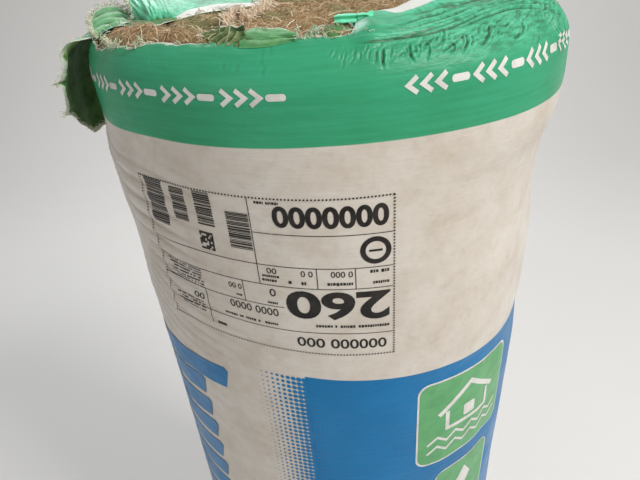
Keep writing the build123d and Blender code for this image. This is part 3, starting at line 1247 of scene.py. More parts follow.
def film_skin(name, lined=False, dullness=0.0, shine=0.24):
    """A new material with the film's gloss and crinkle, its tree, shader and object vector."""
    material, tree, shader, place = new_material(name, IOR=1.5, Specular_IOR_Level=shine)
    dull = texture_noise(tree, place, 24.0, 4.0)
    roughness = spread(tree, dull, 0.3, 0.7, 0.27 + dullness, 0.44 + dullness)
    tree.links.new(roughness, shader.inputs["Roughness"])
    bent = scaled(tree, place, (1.0, 1.0, 2.6))
    fine = texture_noise(tree, bent, 95.0, 5.0, 0.62)
    broad = texture_noise(tree, bent, 26.0, 2.0)
    crinkle = plus(tree, times(tree, fine, 0.45), broad)
    if lined:
        crinkle = plus(tree, crinkle, times(tree, stretch_lines(tree), 0.35))
        crinkle = plus(tree, crinkle, times(tree, times(tree, *shoulder_streaks(tree)), 2.8))
    add_bump(tree, shader, crinkle, 0.35, 0.0022)
    return material, tree, shader, place


def ink(name, light, dark):
    """An ink on the film, a little uneven where the film is worn."""
    material, tree, shader, place = film_skin(name)
    worn = spread(tree, texture_noise(tree, place, 60.0, 5.0, 0.7), 0.42, 0.72)
    tree.links.new(blend_colours(tree, worn, light, dark), shader.inputs["Base Color"])
    return material


panel_print.data.materials.append(ink("black_ink", BLACK_INK, WORN_BLACK))
print("ink", len(panel_print.data.materials[0].node_tree.nodes), "nodes")

# %% [markdown]
# The film's own colours lie in its chart, so the material reads the film's UV map, which holds
# chart places in metres: a green band over each shoulder, a blue field round the front and the
# right, white elsewhere, and an unprinted margin along the clean cut. The white is thin enough
# for the wool to show through as a brownish mottle. Film that stands up off the wool is painted
# brighter, as painted light that comes through it.

# %% The printed film
FOOT_BAND_EDGE = 0.0605
BLUE_TOP = 0.9233
BLUE_FOOT = 0.330
BLUE_LEFT = -0.16 * ROLL_RADIUS
BLUE_RIGHT = 2.72 * ROLL_RADIUS
MARGIN_WIDTH = 0.011
PRINT_SOFTNESS = 0.0006
BAND_SOFTNESS = 0.0007
TEAR_SOFTNESS = 0.0008


def torn_white(tree, place, colour):
    """The film whitens along a tear, in an uneven line."""
    uneven = times(tree, texture_noise(tree, place, 160.0, 3.0), 0.0034)
    away = math_node(tree, "SUBTRACT", kept_number(tree, "torn_distance"), uneven)
    return blend_part(tree, below_edge(tree, away, -0.0004, TEAR_SOFTNESS), 0.85, colour, TORN_WHITE)


def fold_shade_and_sheen(tree, colour, ridge_colour):
    """Painted shade darkens the valleys of the film's folds, and the ridges are painted paler, partly as
    stretched film whitens and partly as painted highlight.
    """
    fold = kept_number(tree, "fold")
    valley = edge_mask(tree, times(tree, fold, -1.0), 0.00065, 0.0009)
    colour = blend_part(tree, valley, 0.80, colour, VALLEY_SHADE_GREEN)
    return blend_part(tree, edge_mask(tree, fold, 0.0005, 0.0006), 0.60, colour, ridge_colour)


def mottled_white(tree, place, cloud):
    """White film over wool: clouds, patches and specks, and painted shade in the valleys of the wrinkles."""
    patch = spread(tree, texture_noise(tree, place, 34.0, 5.0, 0.6), 0.42, 0.68)
    speck = spread(tree, texture_noise(tree, place, 130.0, 3.0), 0.5, 0.75)
    share = plus(tree, times(tree, cloud, 0.45), times(tree, speck, 0.25), True)
    share = plus(tree, share, times(tree, patch, 0.40), True)
    white = blend_colours(tree, share, FILM_WHITE, FILM_WHITE_DIM)
    # Painted shade: the wrinkle number turns the white towards FILM_WHITE_SHADE in the wrinkles' valleys.
    return blend_part(tree, kept_number(tree, "wrinkle"), 0.85, white, FILM_WHITE_SHADE)


def band_green_and_painted_light(tree, place, cloud, light, dark):
    """The green band: uneven ink, painted highlight patches and streaks of painted shade and highlight on the
    shoulder, and painted shade in its folds.
    """
    lines = spread(tree, stretch_lines(tree), 0.35, 0.72)
    uneven = plus(tree, times(tree, cloud, 0.55), times(tree, lines, 0.40), True)
    green = blend_colours(tree, uneven, light, dark)
    streaks, region = shoulder_streaks(tree)
    # Painted light: pale patches of lit green, and streaks painted in shade on one side and in highlight on
    # the other, on the right of the upper shoulder.
    pale = edge_mask(tree, texture_noise(tree, place, 15.0, 4.0, 0.6), 0.53, 0.16)
    for mask, most, colour in (
        (pale, 0.45, LIT_GREEN),
        (edge_mask(tree, streaks, 0.57, 0.10), 0.60, VALLEY_SHADE_GREEN),
        (below_edge(tree, streaks, 0.44, 0.10), 0.55, LIT_GREEN),
    ):
        green = blend_part(tree, times(tree, mask, region), most, green, colour)
    return fold_shade_and_sheen(tree, green, LIT_GREEN)


def printed_film(name, green_light, green_dark):
    """The film with its bands, its blue field and the mottled white between them."""
    material, tree, shader, place = film_skin(name, True)
    s, h, _ = parts_of(tree, chart_vector(tree))
    cloud = spread(tree, texture_noise(tree, place, 7.0, 6.0, 0.62), 0.36, 0.68)
    white = mottled_white(tree, place, cloud)
    green = band_green_and_painted_light(tree, place, cloud, green_light, green_dark)
    blue = blend_colours(tree, cloud, FILM_BLUE, FILM_BLUE_DEEP)
    inside_h = between(tree, h, BLUE_FOOT, BLUE_TOP, PRINT_SOFTNESS)
    field = times(tree, inside_h, between(tree, s, BLUE_LEFT, BLUE_RIGHT, PRINT_SOFTNESS))
    top = edge_mask(tree, h, BAND_EDGE, BAND_SOFTNESS)
    foot = below_edge(tree, h, FOOT_BAND_EDGE, BAND_SOFTNESS)
    colour = blend_colours(tree, field, white, blue)
    colour = blend_colours(tree, plus(tree, top, foot, True), colour, green)
    # Painted light: film raised along the cut is turned towards lit green.
    colour = blend_part(tree, kept_number(tree, "raised"), 0.40, colour, LIT_GREEN)
    margin = below_edge(tree, kept_number(tree, "cut_distance"), MARGIN_WIDTH, TEAR_SOFTNESS)
    colour = blend_colours(tree, margin, colour, MARGIN_WHITE)
    tree.links.new(torn_white(tree, place, colour), shader.inputs["Base Color"])
    return material


PRINTED_FILM = printed_film("printed_film", FILM_GREEN, FILM_GREEN_DEEP)
print("film material", len(PRINTED_FILM.node_tree.nodes), "nodes")


# %% Dress the sleeve and the crown
def keep_numbers(mesh, name, values):
    """Keep one number for each point of a mesh, for a material or a tree to read."""
    mesh.attributes.new(name, "FLOAT", "POINT").data.foreach_set("value", np.asarray(values, float))


for piece, charts in ((sleeve, sleeve_charts), (crown, crown_charts)):
    piece.data.materials.append(PRINTED_FILM)
    s, h = charts.T
    x, y = plan_place(s, h)
    from_cut, from_tear = distance_to(CLEAN_CUT, x, y), distance_to(TEAR, x, y)
    edge = opening_distance(x, y)
    on_top = h > SIDE_TOP
    margin_share = np.maximum(smooth((x / ROLL_RADIUS - 0.19) / 0.06), smooth((y / ROLL_RADIUS + 0.5) / 0.1))
    to_margin = from_cut / np.maximum(margin_share, 0.001)
    keep_numbers(piece.data, "cut_distance", np.where(on_top, to_margin, 1.0))
    whitened = 1 + 2.5 * smooth((x / ROLL_RADIUS + 0.47) / 0.05)
    keep_numbers(piece.data, "torn_distance", np.where(on_top & (from_tear < from_cut), edge * whitened, 1.0))
    keep_numbers(piece.data, "fold", fold_height(s, h, x, y, edge))
    # The wrinkle number is high in the valleys of the left side's wrinkles, where the white is painted in
    # shade.
    bunched, phase = wrinkle_phase(s, h, x, y, h)
    keep_numbers(piece.data, "wrinkle", bunched * (1 - crease(phase))**7)
    # The raised number says where film that stands up along the cut is painted brighter, as if lit through.
    lit = smooth((x / ROLL_RADIUS - 0.14) / 0.06)
    keep_numbers(piece.data, "raised", np.where(on_top, lit * lip(x, y, edge) / LIP_RISE, 0))
    print(piece.name, "keeps", [kept.name for kept in piece.data.attributes if kept.data_type == "FLOAT"])

# %% Dots of the panel's border and of the blue field's edge
BORDER_PITCH = 0.0026
BORDER_RADIUS = 0.00075
HALFTONE_PITCH = 0.0049
HALFTONE_ROW_PITCH = 0.0055
HALFTONE_LEFT = -0.374 * ROLL_RADIUS
HALFTONE_RADII = (0.0003, 0.0031)
# A pitch that is longer than the field leaves one line of dots.
ONE_LINE = 1.0
BLACK = panel_print.data.materials[0]
BLUE = ink("blue_ink", FILM_BLUE, FILM_BLUE_DEEP)


def dot_field(name, low, high, pitches, radii, material, lift=PRINT_LIFT):
    """Dots between two corners of the chart, laid on the film. The pitches are the columns' and
    the rows', the radii those at the left and at the right."""
    columns, rows = [max(1, round((high[axis] - low[axis]) / pitches[axis]) + 1) for axis in (0, 1)]
    flat = grown(name, dots_tree, {
        "Columns": columns, "Rows": rows, "Column Pitch": pitches[0], "Row Pitch": pitches[1],
        "Left Radius": radii[0], "Right Radius": radii[1], "Ink": material,
    })
    flat.transform(Matrix.Translation((low[0], low[1], 0)))
    places = places_of(flat.vertices)
    flat.vertices.foreach_set("co", on_film(places[:, 0], places[:, 1], lift).ravel())
    flat.update()
    return place_piece(name, flat)


left, right = PANEL_RIGHT_S - PANEL_WIDTH, PANEL_RIGHT_S
low_h, high_h = PANEL_FOOT_H - PANEL_HEIGHT, PANEL_FOOT_H - PANEL_TOP
ALONG, UPWARDS = (BORDER_PITCH, ONE_LINE), (ONE_LINE, BORDER_PITCH)
borders = []
for number_of_side, (low, high, pitches) in enumerate((
    ((left, low_h), (right, low_h), ALONG),
    ((left, high_h), (right, high_h), ALONG),
    ((left, low_h), (left, high_h), UPWARDS),
    ((right, low_h), (right, high_h), UPWARDS),
)):
    name = f"panel_border_{number_of_side + 1}"
    borders.append(dot_field(name, low, high, pitches, (BORDER_RADIUS, BORDER_RADIUS), BLACK, 2 * PRINT_LIFT))
halftone = dot_field(
    "blue_dots", (HALFTONE_LEFT, BLUE_FOOT + HALFTONE_ROW_PITCH), (BLUE_LEFT, BLUE_TOP - HALFTONE_ROW_PITCH),
    (HALFTONE_PITCH, HALFTONE_ROW_PITCH), HALFTONE_RADII, BLUE,
)
print("dots", len(halftone.data.polygons), "of the field's edge")

# %% [markdown]
# The rest of the print is made of plain shapes: a row of marks along the green band, a framed
# panel with a simple sign on the blue field, and slanting bars on the white at the left.

# %% Marks of the band, sign on the blue field, bars on the white
WHITE = ink("white_ink", (0.74, 0.74, 0.70, 1), (0.55, 0.55, 0.50, 1))
GREEN = ink("green_ink", PANEL_GREEN, (0.085, 0.31, 0.12, 1))
MARK_HEIGHT = 0.0116
MARK_FOOT_H = 1.1660
ARROW_DEPTH = 0.0065
ARROW_INSET = 0.0010
ARROW_LINE = 0.0030
ARROW_STEP = 0.0100
DASH_LENGTH = 0.013
DASH_INSET = 0.0036
DASH_CORNER = 0.0020
DASH_STEP = 0.0175
ROOF_LINE = 0.0060
WALL_LINE = 0.0050
ZIGZAG_LINE = 0.0032
DOOR_HALF_WIDTH = 0.008


def marks(start, end, direction):
    """Arrow heads and rounded bars in turn along the band, from start to end."""
    low, high = MARK_FOOT_H, MARK_FOOT_H + MARK_HEIGHT
    found = []
    s = start
    number_of_mark = 0
    while s < end - 0.008:
        if number_of_mark % 4 == 3:
            found.append(rounded(s, low + DASH_INSET, s + DASH_LENGTH, high - DASH_INSET, DASH_CORNER))
            s += DASH_STEP
        else:
            tip = s + (ARROW_DEPTH if direction > 0 else 0)
            heel = s + (0 if direction > 0 else ARROW_DEPTH)
            arrow = [(heel, low + ARROW_INSET), (tip, (low + high) / 2), (heel, high - ARROW_INSET)]
            found.extend(line_of(arrow, ARROW_LINE))
            s += ARROW_STEP
        number_of_mark += 1
    return found


def sign(s0, h0, s1, h1):
    """White frame lines of the sign: a house front over two zigzag layers."""
    width, height = s1 - s0, h1 - h0
    eaves = h0 + 0.62 * height
    left_wall, right_wall, top = s0 + 0.22 * width, s0 + 0.78 * width, h0 + 0.92 * height
    peak = s0 + 0.5 * width
    floor, wall_top = h0 + 0.40 * height, eaves + 0.002
    roof = [(left_wall - 0.1 * width, eaves), (peak, top), (right_wall + 0.1 * width, eaves)]
    walls = [(left_wall, wall_top), (left_wall, floor), (right_wall, floor), (right_wall, wall_top)]
    lines = line_of(roof, ROOF_LINE) + line_of(walls, WALL_LINE)
    door_foot = h0 + 0.46 * height
    lines.append(rounded(peak - DOOR_HALF_WIDTH, door_foot, peak + DOOR_HALF_WIDTH, eaves, 0.0025))
    for layer in range(2):
        base = h0 + (0.08 + 0.14 * layer) * height
        step = width / 9
        zigzag = [(s0 + tooth * step, base + (0.09 * height if tooth % 2 else 0)) for tooth in range(10)]
        lines.extend(line_of(zigzag, ZIGZAG_LINE))
    return lines


def diamond(s, h, size):
    """Outline of a standing diamond."""
    return [(s + 0.6 * size, h), (s, h + size), (s - 0.6 * size, h), (s, h - size)]


def widened(box, by_s, by_h):
    """A box with each side moved outwards."""
    return box[0] - by_s, box[1] - by_h, box[2] + by_s, box[3] + by_h


R = ROLL_RADIUS
SIGN_BOX = (0.335 * R, 0.7852, 0.93 * R, 0.9028)
STEM_BOX = (0.455 * R, 0.3500, 0.855 * R, 0.7600)
KEYLINE = 0.0022
DIAMOND_TOP_H = 0.7250
DIAMOND_PITCH = 0.058
DIAMOND_SIZE = 0.021
green_shapes = [rounded(*SIGN_BOX, 0.012), rounded(*STEM_BOX, 0.008)]
frame_shapes = [rounded(*widened(box, KEYLINE, KEYLINE), 0.013) for box in (SIGN_BOX, STEM_BOX)]
sign_lines = sign(*widened(SIGN_BOX, -0.010, -0.008))
for step in range(7):
    sign_lines.append(diamond(0.655 * R, DIAMOND_TOP_H - DIAMOND_PITCH * step, DIAMOND_SIZE))
band_marks = marks(-1.9 * R, -0.07 * R, 1) + marks(0.25 * R, 2.2 * R, -1)


def printed(name, shapes, stock, lift=PRINT_LIFT, step=COARSE):
    """Flat shapes laid on the film as one piece of a stock."""
    piece = lay_print(name, flat_mesh(shapes), lift, step)
    piece.data.materials.append(stock)
    return piece


frame_piece = printed("field_frame", frame_shapes, WHITE)
green_piece = printed("field_panel", green_shapes, GREEN, 2 * PRINT_LIFT)
sign_piece = printed("sign_lines", sign_lines, WHITE, 3 * PRINT_LIFT)
white_piece = printed("white_marks", band_marks, WHITE, step=1)

# %% Slanting bars on the white at the left
BAR_COUNT = 14
BAR_PITCH = 0.0345
BAR_HEIGHT = 0.0275
BAR_TOP = 0.9030
BAR_FALL = 0.034
bars = []
for place_in_row in range(BAR_COUNT):
    top = BAR_TOP - place_in_row * BAR_PITCH
    foot = top - BAR_HEIGHT
    right_end = (-0.56 if place_in_row == 0 else -0.745) * R
    left_end = (-1.62 if place_in_row % 3 else -1.78) * R
    outline = [(left_end, top - BAR_FALL - BAR_HEIGHT), (right_end, foot), (right_end + 0.006, top - 0.004)]
    bars.append(outline + [(right_end + 0.002, top), (left_end, top - BAR_FALL)])
bars_piece = printed("slant_bars", bars, BLUE, 2 * PRINT_LIFT)
print("bars", len(bars))

# %% [markdown]
# The batt shows only through the torn opening, but there it is the liveliest surface of all:
# matted fibres in clumps, a seam between its turns, and wool that swells up where the film no
# longer holds it. The body is one closed mesh of rings; loose fibres are added on top of it.

# %% The wool body
WOOL_COLUMNS = 460
WOOL_SIDE = ROLL_RADIUS - 0.0062
WOOL_RIM = RIM - 0.004
WOOL_RIM_START = WOOL_SIDE - WOOL_RIM
RING_PITCH = 0.0027
TURN_PITCH = 0.0433
UNDER_FILM = 0.0026
FOOT_INNER = FOOT_RING_INNER - 0.002
# Radius and height of the rings down the side and over the foot.
LOWER_RINGS = [
    (WOOL_SIDE, 0.9), (WOOL_SIDE, 0.6), (WOOL_SIDE, 0.3), (WOOL_SIDE, 0.06), (WOOL_SIDE - 0.02, 0.012),
    (FOOT_INNER + 0.03, 0.0050), (FOOT_INNER, 0.0040), (FOOT_INNER - 0.004, 0.0), (0.05, 0.0),
]
# The wool stands up to the edge of the flap that lies on it: plan places and heights in metres
# above the film's top.
FLAP_EDGE = [
    (-0.711, -0.340), (-0.639, -0.428), (-0.588, -0.420), (-0.524, -0.447), (-0.444, -0.359),
    (-0.361, -0.316), (-0.266, -0.287), (-0.179, -0.037),
]
FLAP_EDGE_HEIGHTS = [0.0000, 0.0002, 0.0006, 0.0021, 0.0031, 0.0031, 0.0031, 0.0026]
SWELL = 0.0012
TURN_SWELL = 0.0018
SEAM_DEPTH = 0.0042
SEAM_WIDTH = 0.0036
EYE_DEPTH = 0.010
EYE_RADIUS = 0.019
PIT_PLACE = (-0.025, -0.845)
PIT_DEPTH = 0.006
PIT_WIDTH = 0.007
FLAP_REACH = 0.018


def wool_surface(radius, angle):
    """Height of the wool's top at polar places, with seam, clumps and swelling."""
    x, y = radius * np.cos(angle), radius * np.sin(angle)
    free = smooth(0.62 - opening_distance(x, y) / 0.013)
    wind = (radius + 0.003 * noise(x, y, 0, 0.05, 40) - TURN_PITCH * angle / (2 * math.pi)) / TURN_PITCH
    to_seam = np.abs(wind - np.round(wind)) * TURN_PITCH
    seam = SEAM_DEPTH * np.exp(-(to_seam / SEAM_WIDTH)**2) * (0.6 + 0.4 * noise(x, y, 0, 0.03, 41))
    swollen = TURN_SWELL * smooth(to_seam / (TURN_PITCH / 2))
    clumps = 0.0014 * layered(x, y, 0, 0.034, 42, 2) + 0.0024 * layered(x, y, 0, 0.008, 44, 3)
    eye = EYE_DEPTH * smooth(1 - radius / EYE_RADIUS)
    to_pit = np.hypot(x - PIT_PLACE[0] * ROLL_RADIUS, y - PIT_PLACE[1] * ROLL_RADIUS)
    pit = PIT_DEPTH * np.exp(-(to_pit / PIT_WIDTH)**2)
    lift = free * (SWELL + swollen + clumps - seam - pit) - UNDER_FILM * (1 - free) - eye
    under_flap = smooth(1 - distance_to(FLAP_EDGE, x, y) / FLAP_REACH)
    flap_height = np.interp(x / ROLL_RADIUS, [place[0] for place in FLAP_EDGE], FLAP_EDGE_HEIGHTS)
    reach_up = FILM_TOP - WOOL_TOP + flap_height + 0.3 * clumps
    lift = lift * (1 - under_flap) + reach_up * under_flap
    over_rim = np.clip((radius - WOOL_RIM_START) / WOOL_RIM, 0, 1)
    drop = WOOL_RIM * (1 - np.sqrt(np.maximum(1 - over_rim**2, 0)))
    return WOOL_TOP - drop + lift * (1 - 0.4 * over_rim)


def wool_rings():
    """Rings of the closed wool body from the middle of the top to the middle of the foot."""
    angle = np.arange(WOOL_COLUMNS) / WOOL_COLUMNS * 2 * math.pi
    flat_radii = np.arange(0.003, WOOL_RIM_START, RING_PITCH)
    rim_radii = WOOL_SIDE - WOOL_RIM * (1 - np.sin(np.linspace(0, math.pi / 2, 20)))
    rings = []
    for radius in np.concatenate([flat_radii, rim_radii]):
        full = np.full(WOOL_COLUMNS, radius)
        rings.append(np.stack([full * np.cos(angle), full * np.sin(angle), wool_surface(full, angle)], -1))
    for radius, z in LOWER_RINGS:
        full = np.full(WOOL_COLUMNS, radius)
        rings.append(np.stack([full * np.cos(angle), full * np.sin(angle), np.full(WOOL_COLUMNS, z)], -1))
    return rings


rings = wool_rings()
points = np.concatenate(rings + [[[0, 0, rings[0][:, 2].mean()], [0, 0, 0]]])
faces = []
for start in range(0, (len(rings) - 1) * WOOL_COLUMNS, WOOL_COLUMNS):
    for j in range(WOOL_COLUMNS):
        k = (j + 1) % WOOL_COLUMNS
        below = start + WOOL_COLUMNS
        faces.append([start + j, below + j, below + k, start + k])
last = (len(rings) - 1) * WOOL_COLUMNS
for j in range(WOOL_COLUMNS):
    k = (j + 1) % WOOL_COLUMNS
    faces.append([len(points) - 2, j, k])
    faces.append([len(points) - 1, last + k, last + j])
mesh = mesh_of("wool_batt", points.tolist(), faces)
smooth_faces(mesh)
wool = place_piece("wool_batt", mesh)
print("wool", len(mesh.polygons), "faces")


# %% The wool's colours
WOOL_DARK = (0.085, 0.045, 0.020, 1)
WOOL_BROWN = (0.31, 0.185, 0.082, 1)
WOOL_TAN = (0.51, 0.360, 0.180, 1)
WOOL_PALE = (0.76, 0.62, 0.43, 1)
WOOL_OLIVE = (0.260, 0.290, 0.130, 1)
WOOL_PINK = (0.62, 0.43, 0.29, 1)


def colour_ramp(tree, value, stops):
    """A ramp of colours at given places."""
    ramp = tree.nodes.new("ShaderNodeValToRGB")
    elements = ramp.color_ramp.elements
    while len(elements) < len(stops):
        elements.new(0.5)
    for element, (place, colour) in zip(elements, stops):
        element.position = place
        element.color = colour
    tree.links.new(value, ramp.inputs[0])
    return ramp.outputs[0]


def rough_material(name):
    """A dull fibrous material and what is needed to colour it."""
    return new_material(name, Roughness=0.85, Specular_IOR_Level=0.25)


def tinted_wool(tree, place, colour):
    """Wool isn't one colour: here and there its binder is greener, or paler and pinkish."""
    x, y, _ = parts_of(tree, place)
    to_left = spread(tree, x, -0.02, -0.10)
    from_front = spread(tree, y, -0.152, -0.132, -0.08, 0.12)
    greener = times(tree, to_left, from_front)
    olive = edge_mask(tree, plus(tree, texture_noise(tree, place, 26.0, 3.0), greener), 0.57, 0.14)
    moved = scaled(tree, place, (1.0, 1.9, 1.0), shift=(3.1, 1.7, 0.4))
    pink = edge_mask(tree, texture_noise(tree, moved, 17.0, 4.0), 0.58, 0.12)
    colour = blend_part(tree, olive, 0.65, colour, WOOL_OLIVE)
    return blend_part(tree, pink, 0.50, colour, WOOL_PINK)


def matted_wool():
    """Brown matted wool: clumps of light and dark, and fine crossing fibres as bump."""
    material, tree, shader, place = rough_material("matted_wool")
    clumps = texture_noise(tree, place, 55.0, 8.0, 0.72)
    strands = texture_noise(tree, scaled(tree, place, (1.0, 3.4, 1.0), 0.6), 210.0, 5.0, 0.7)
    others = texture_noise(tree, scaled(tree, place, (3.2, 1.0, 1.0), 0.2), 190.0, 5.0, 0.7)
    fibres = times(tree, math_node(tree, "MAXIMUM", strands, others), 0.45)
    value = plus(tree, times(tree, clumps, 0.55), fibres)
    stops = [(0.34, WOOL_DARK), (0.47, WOOL_BROWN), (0.58, WOOL_TAN), (0.74, WOOL_PALE)]
    colour = colour_ramp(tree, value, stops)
    tree.links.new(tinted_wool(tree, place, colour), shader.inputs["Base Color"])
    add_bump(tree, shader, value, 0.9, 0.006)
    return material


wool.data.materials.append(matted_wool())
print("wool material", len(wool.data.materials[0].node_tree.nodes), "nodes")

# %% [markdown]
# The loose pieces are all torn from the same film. Each is a sheet over shares u and v from 0
# to 1: a rule gives its places, noise crumples it, its torn sides are clipped ragged, and a thin
# wall is added, with a paler green on the film's inner side.

# %% The stocks of the loose film
# Painted shade: the film's green as it looks in shade, for loose pieces that lie in shade.
SHADED_LIGHT = (0.085, 0.230, 0.060, 1)
SHADED_DARK = (0.030, 0.095, 0.022, 1)


def inner_film(name, light, dark, ridge_colour, dullness=0.12):
    """The film's unprinted inner side: the print shows through it."""
    material, tree, shader, place = film_skin(name, dullness=dullness, shine=0.2)
    worn = spread(tree, texture_noise(tree, place, 70.0, 5.0, 0.7), 0.40, 0.70)
    colour = fold_shade_and_sheen(tree, blend_colours(tree, worn, light, dark), ridge_colour)
    tree.links.new(torn_white(tree, place, colour), shader.inputs["Base Color"])
    return material


INNER_FILM = inner_film("inner_film", INNER_GREEN, INNER_GREEN_DEEP, (0.42, 0.70, 0.46, 1))
# Painted shade with painted highlights: pale ridges on the shaded olive.
SHADE_OLIVE_FILM = inner_film("shade_olive_film", SHADE_OLIVE, SHADE_OLIVE_DEEP, (0.36, 0.40, 0.22, 1))
TONGUE_FILM = inner_film(
    "tongue_film", (0.120, 0.370, 0.140, 1), (0.070, 0.235, 0.075, 1), (0.24, 0.47, 0.24, 1), 0.3,
)
SHADED_FILM = inner_film("shaded_film", SHADED_LIGHT, SHADED_DARK, (0.16, 0.33, 0.11, 1), 0.3)
# Painted light: a lit copy of the printed film, for film that stands up and lets light through.
LIT_FILM = printed_film("lit_film", LIT_GREEN, LIT_GREEN_DEEP)
# Painted light: the rolled edge's green, much brighter than the film's, as where it is lit.
LIT_ROLL_FILM = ink("lit_roll_film", (0.21, 0.84, 0.54, 1), (0.13, 0.66, 0.39, 1))
print("loose film", len(INNER_FILM.node_tree.nodes), "nodes")

# %% Make a loose piece of film
LOOSE_THICKNESS = 0.0004
TEAR_SIZE = 0.018


def torn_film(
    name, place, size, steps, torn, tooth=0.0022, seed=60, faces=(PRINTED_FILM, INNER_FILM), margin=None,
    fold=None, worn=1.0,
):
    """A loose piece of film. place gives points for shares (u, v), size its width and length in
    metres, torn its ragged sides, faces its two sides' stock. margin gives the share v up to
    which the film is unprinted at a share u, fold the height of its creases, which the fold
    colours turn to painted shade and highlight, and worn how many times wider than usual the
    film has whitened along its tears."""
    u, v = np.meshgrid(np.linspace(0, 1, steps[0]), np.linspace(0, 1, steps[1]))
    width, length = size

    def from_tear(u, v):
        to_side = {"left": u * width, "right": (1 - u) * width, "start": v * length, "end": (1 - v) * length}
        ragged = tooth * (1 + layered(u * width, v * length, seed, TEAR_SIZE, seed, 4))
        return np.minimum.reduce([to_side[side] for side in torn]) - ragged

    keep = from_tear(u, v) if torn else np.full(u.shape, 1.0)
    piece, shares = sheet_mesh(name, u, v, keep, place)
    mesh = piece.data
    u, v = shares.T
    chart = np.stack([u * width, CREST + 0.01 + v * length], -1)[loop_points(mesh)]
    mesh.uv_layers["chart"].data.foreach_set("uv", chart.ravel())
    none = np.ones(len(u))
    keep_numbers(mesh, "cut_distance", v / np.maximum(margin(u), 1e-4) * MARGIN_WIDTH if margin else none)
    keep_numbers(mesh, "torn_distance", from_tear(u, v) / worn if torn else none)
    keep_numbers(mesh, "fold", fold(u, v) if fold else 0 * none)
    for stock in faces:
        mesh.materials.append(stock)
    wall = piece.modifiers.new("wall", "SOLIDIFY")
    wall.thickness = LOOSE_THICKNESS
    wall.offset = -1
    wall.material_offset = 1
    wall.material_offset_rim = 1
    print(name, len(mesh.polygons), "faces")
    return piece


print("loose film", LOOSE_THICKNESS, "thick")


# %% [markdown]
# Torn film takes shapes that no formula gives. So each loose piece is drawn as a net of a few
# points, taken where the piece shows, and the sheet runs smoothly through them. The net's plan
# places are in parts of the roll's radius, its heights in millimetres above the film's top.

# %% A smooth sheet through a net of points
def curve_weights(place, count):
    """The first of the four points round each place on a smooth curve, and their weights."""
    place = np.clip(place, 0, 1) * (count - 1)
    first = np.clip(np.floor(place).astype(int), 0, count - 2)
    t = place - first
    two_before = (2 * t**2 - t - t**3) / 2, (2 - 5 * t**2 + 3 * t**3) / 2
    two_after = (t + 4 * t**2 - 3 * t**3) / 2, (t**3 - t**2) / 2
    return first, two_before + two_after


def with_ends(points):
    """A row of points with one more beyond each end."""
    return np.concatenate([2 * points[:1] - points[1:2], points, 2 * points[-1:] - points[-2:-1]])


def net_place(net, fold=None):
    """Rule for the sheet through a net, with creases of height fold(u, v) along its normal."""
    points = np.array(net, float) * (ROLL_RADIUS, ROLL_RADIUS, 0.001) + (0, 0, FILM_TOP)
    rows, columns = points.shape[:2]
    full = with_ends(with_ends(points).swapaxes(0, 1)).swapaxes(0, 1)

    def smooth_place(u, v):
        i, down = curve_weights(v, rows)
        j, across = curve_weights(u, columns)
        return sum((down[a] * across[b])[..., None] * full[i + a, j + b] for a in range(4) for b in range(4))

    def place(u, v):
        u, v = np.broadcast_arrays(np.asarray(u, float), np.asarray(v, float))
        if fold is None:
            return smooth_place(u, v)
        along = smooth_place(u + 0.01, v) - smooth_place(u - 0.01, v)
        ahead = smooth_place(u, v + 0.01) - smooth_place(u, v - 0.01)
        normal = np.cross(along, ahead)
        normal /= np.linalg.norm(normal, axis=-1, keepdims=True) + 1e-12
        return smooth_place(u, v) + normal * fold(u, v)[..., None]

    return place


print("weights half way", [float(w) for w in curve_weights(0.5, 2)[1]])

# %% The flap that stands up at the back of the opening
FLAP_NET = [
    [
        (-0.711, -0.340, 0.5), (-0.639, -0.428, 0.6), (-0.588, -0.420, 1.0), (-0.524, -0.447, 2.5),
        (-0.444, -0.359, 3.5), (-0.361, -0.316, 3.5), (-0.266, -0.287, 3.5), (-0.179, -0.037, 3.0),
    ],
    [
        (-0.723, -0.325, 3.6), (-0.630, -0.440, 4.1), (-0.578, -0.432, 4.2), (-0.519, -0.427, 4.3),
        (-0.445, -0.331, 5.3), (-0.362, -0.288, 4.8), (-0.264, -0.259, 4.6), (-0.176, -0.009, 3.9),
    ],
    [
        (-0.740, -0.290, 7.7), (-0.633, -0.413, 9.1), (-0.579, -0.405, 9.1), (-0.516, -0.397, 6.8),
        (-0.447, -0.299, 7.0), (-0.363, -0.256, 6.5), (-0.263, -0.227, 5.7), (-0.173, 0.023, 4.7),
    ],
    [
        (-0.769, -0.230, 11.8), (-0.650, -0.348, 13.2), (-0.591, -0.340, 12.8), (-0.521, -0.337, 10.9),
        (-0.452, -0.229, 9.9), (-0.367, -0.186, 8.2), (-0.265, -0.157, 7.0), (-0.172, 0.093, 4.7),
    ],
    [
        (-0.811, -0.130, 16.0), (-0.683, -0.228, 16.5), (-0.617, -0.220, 15.7), (-0.537, -0.227, 14.2),
        (-0.466, -0.119, 12.0), (-0.377, -0.076, 9.5), (-0.271, -0.047, 7.1), (-0.174, 0.203, 3.1),
    ],
    [
        (-0.868, 0.020, 18.9), (-0.735, -0.048, 18.4), (-0.662, -0.020, 16.7), (-0.570, -0.047, 15.9),
        (-0.493, 0.061, 12.2), (-0.398, 0.104, 9.7), (-0.284, 0.133, 6.4), (-0.180, 0.383, 0.4),
    ],
    [
        (-0.872, 0.180, -2.0), (-0.780, 0.340, -3.0), (-0.680, 0.460, -3.0), (-0.560, 0.560, -3.0),
        (-0.420, 0.640, -3.0), (-0.260, 0.680, -3.0), (-0.080, 0.660, -3.0), (0.080, 0.520, -3.0),
    ],
]


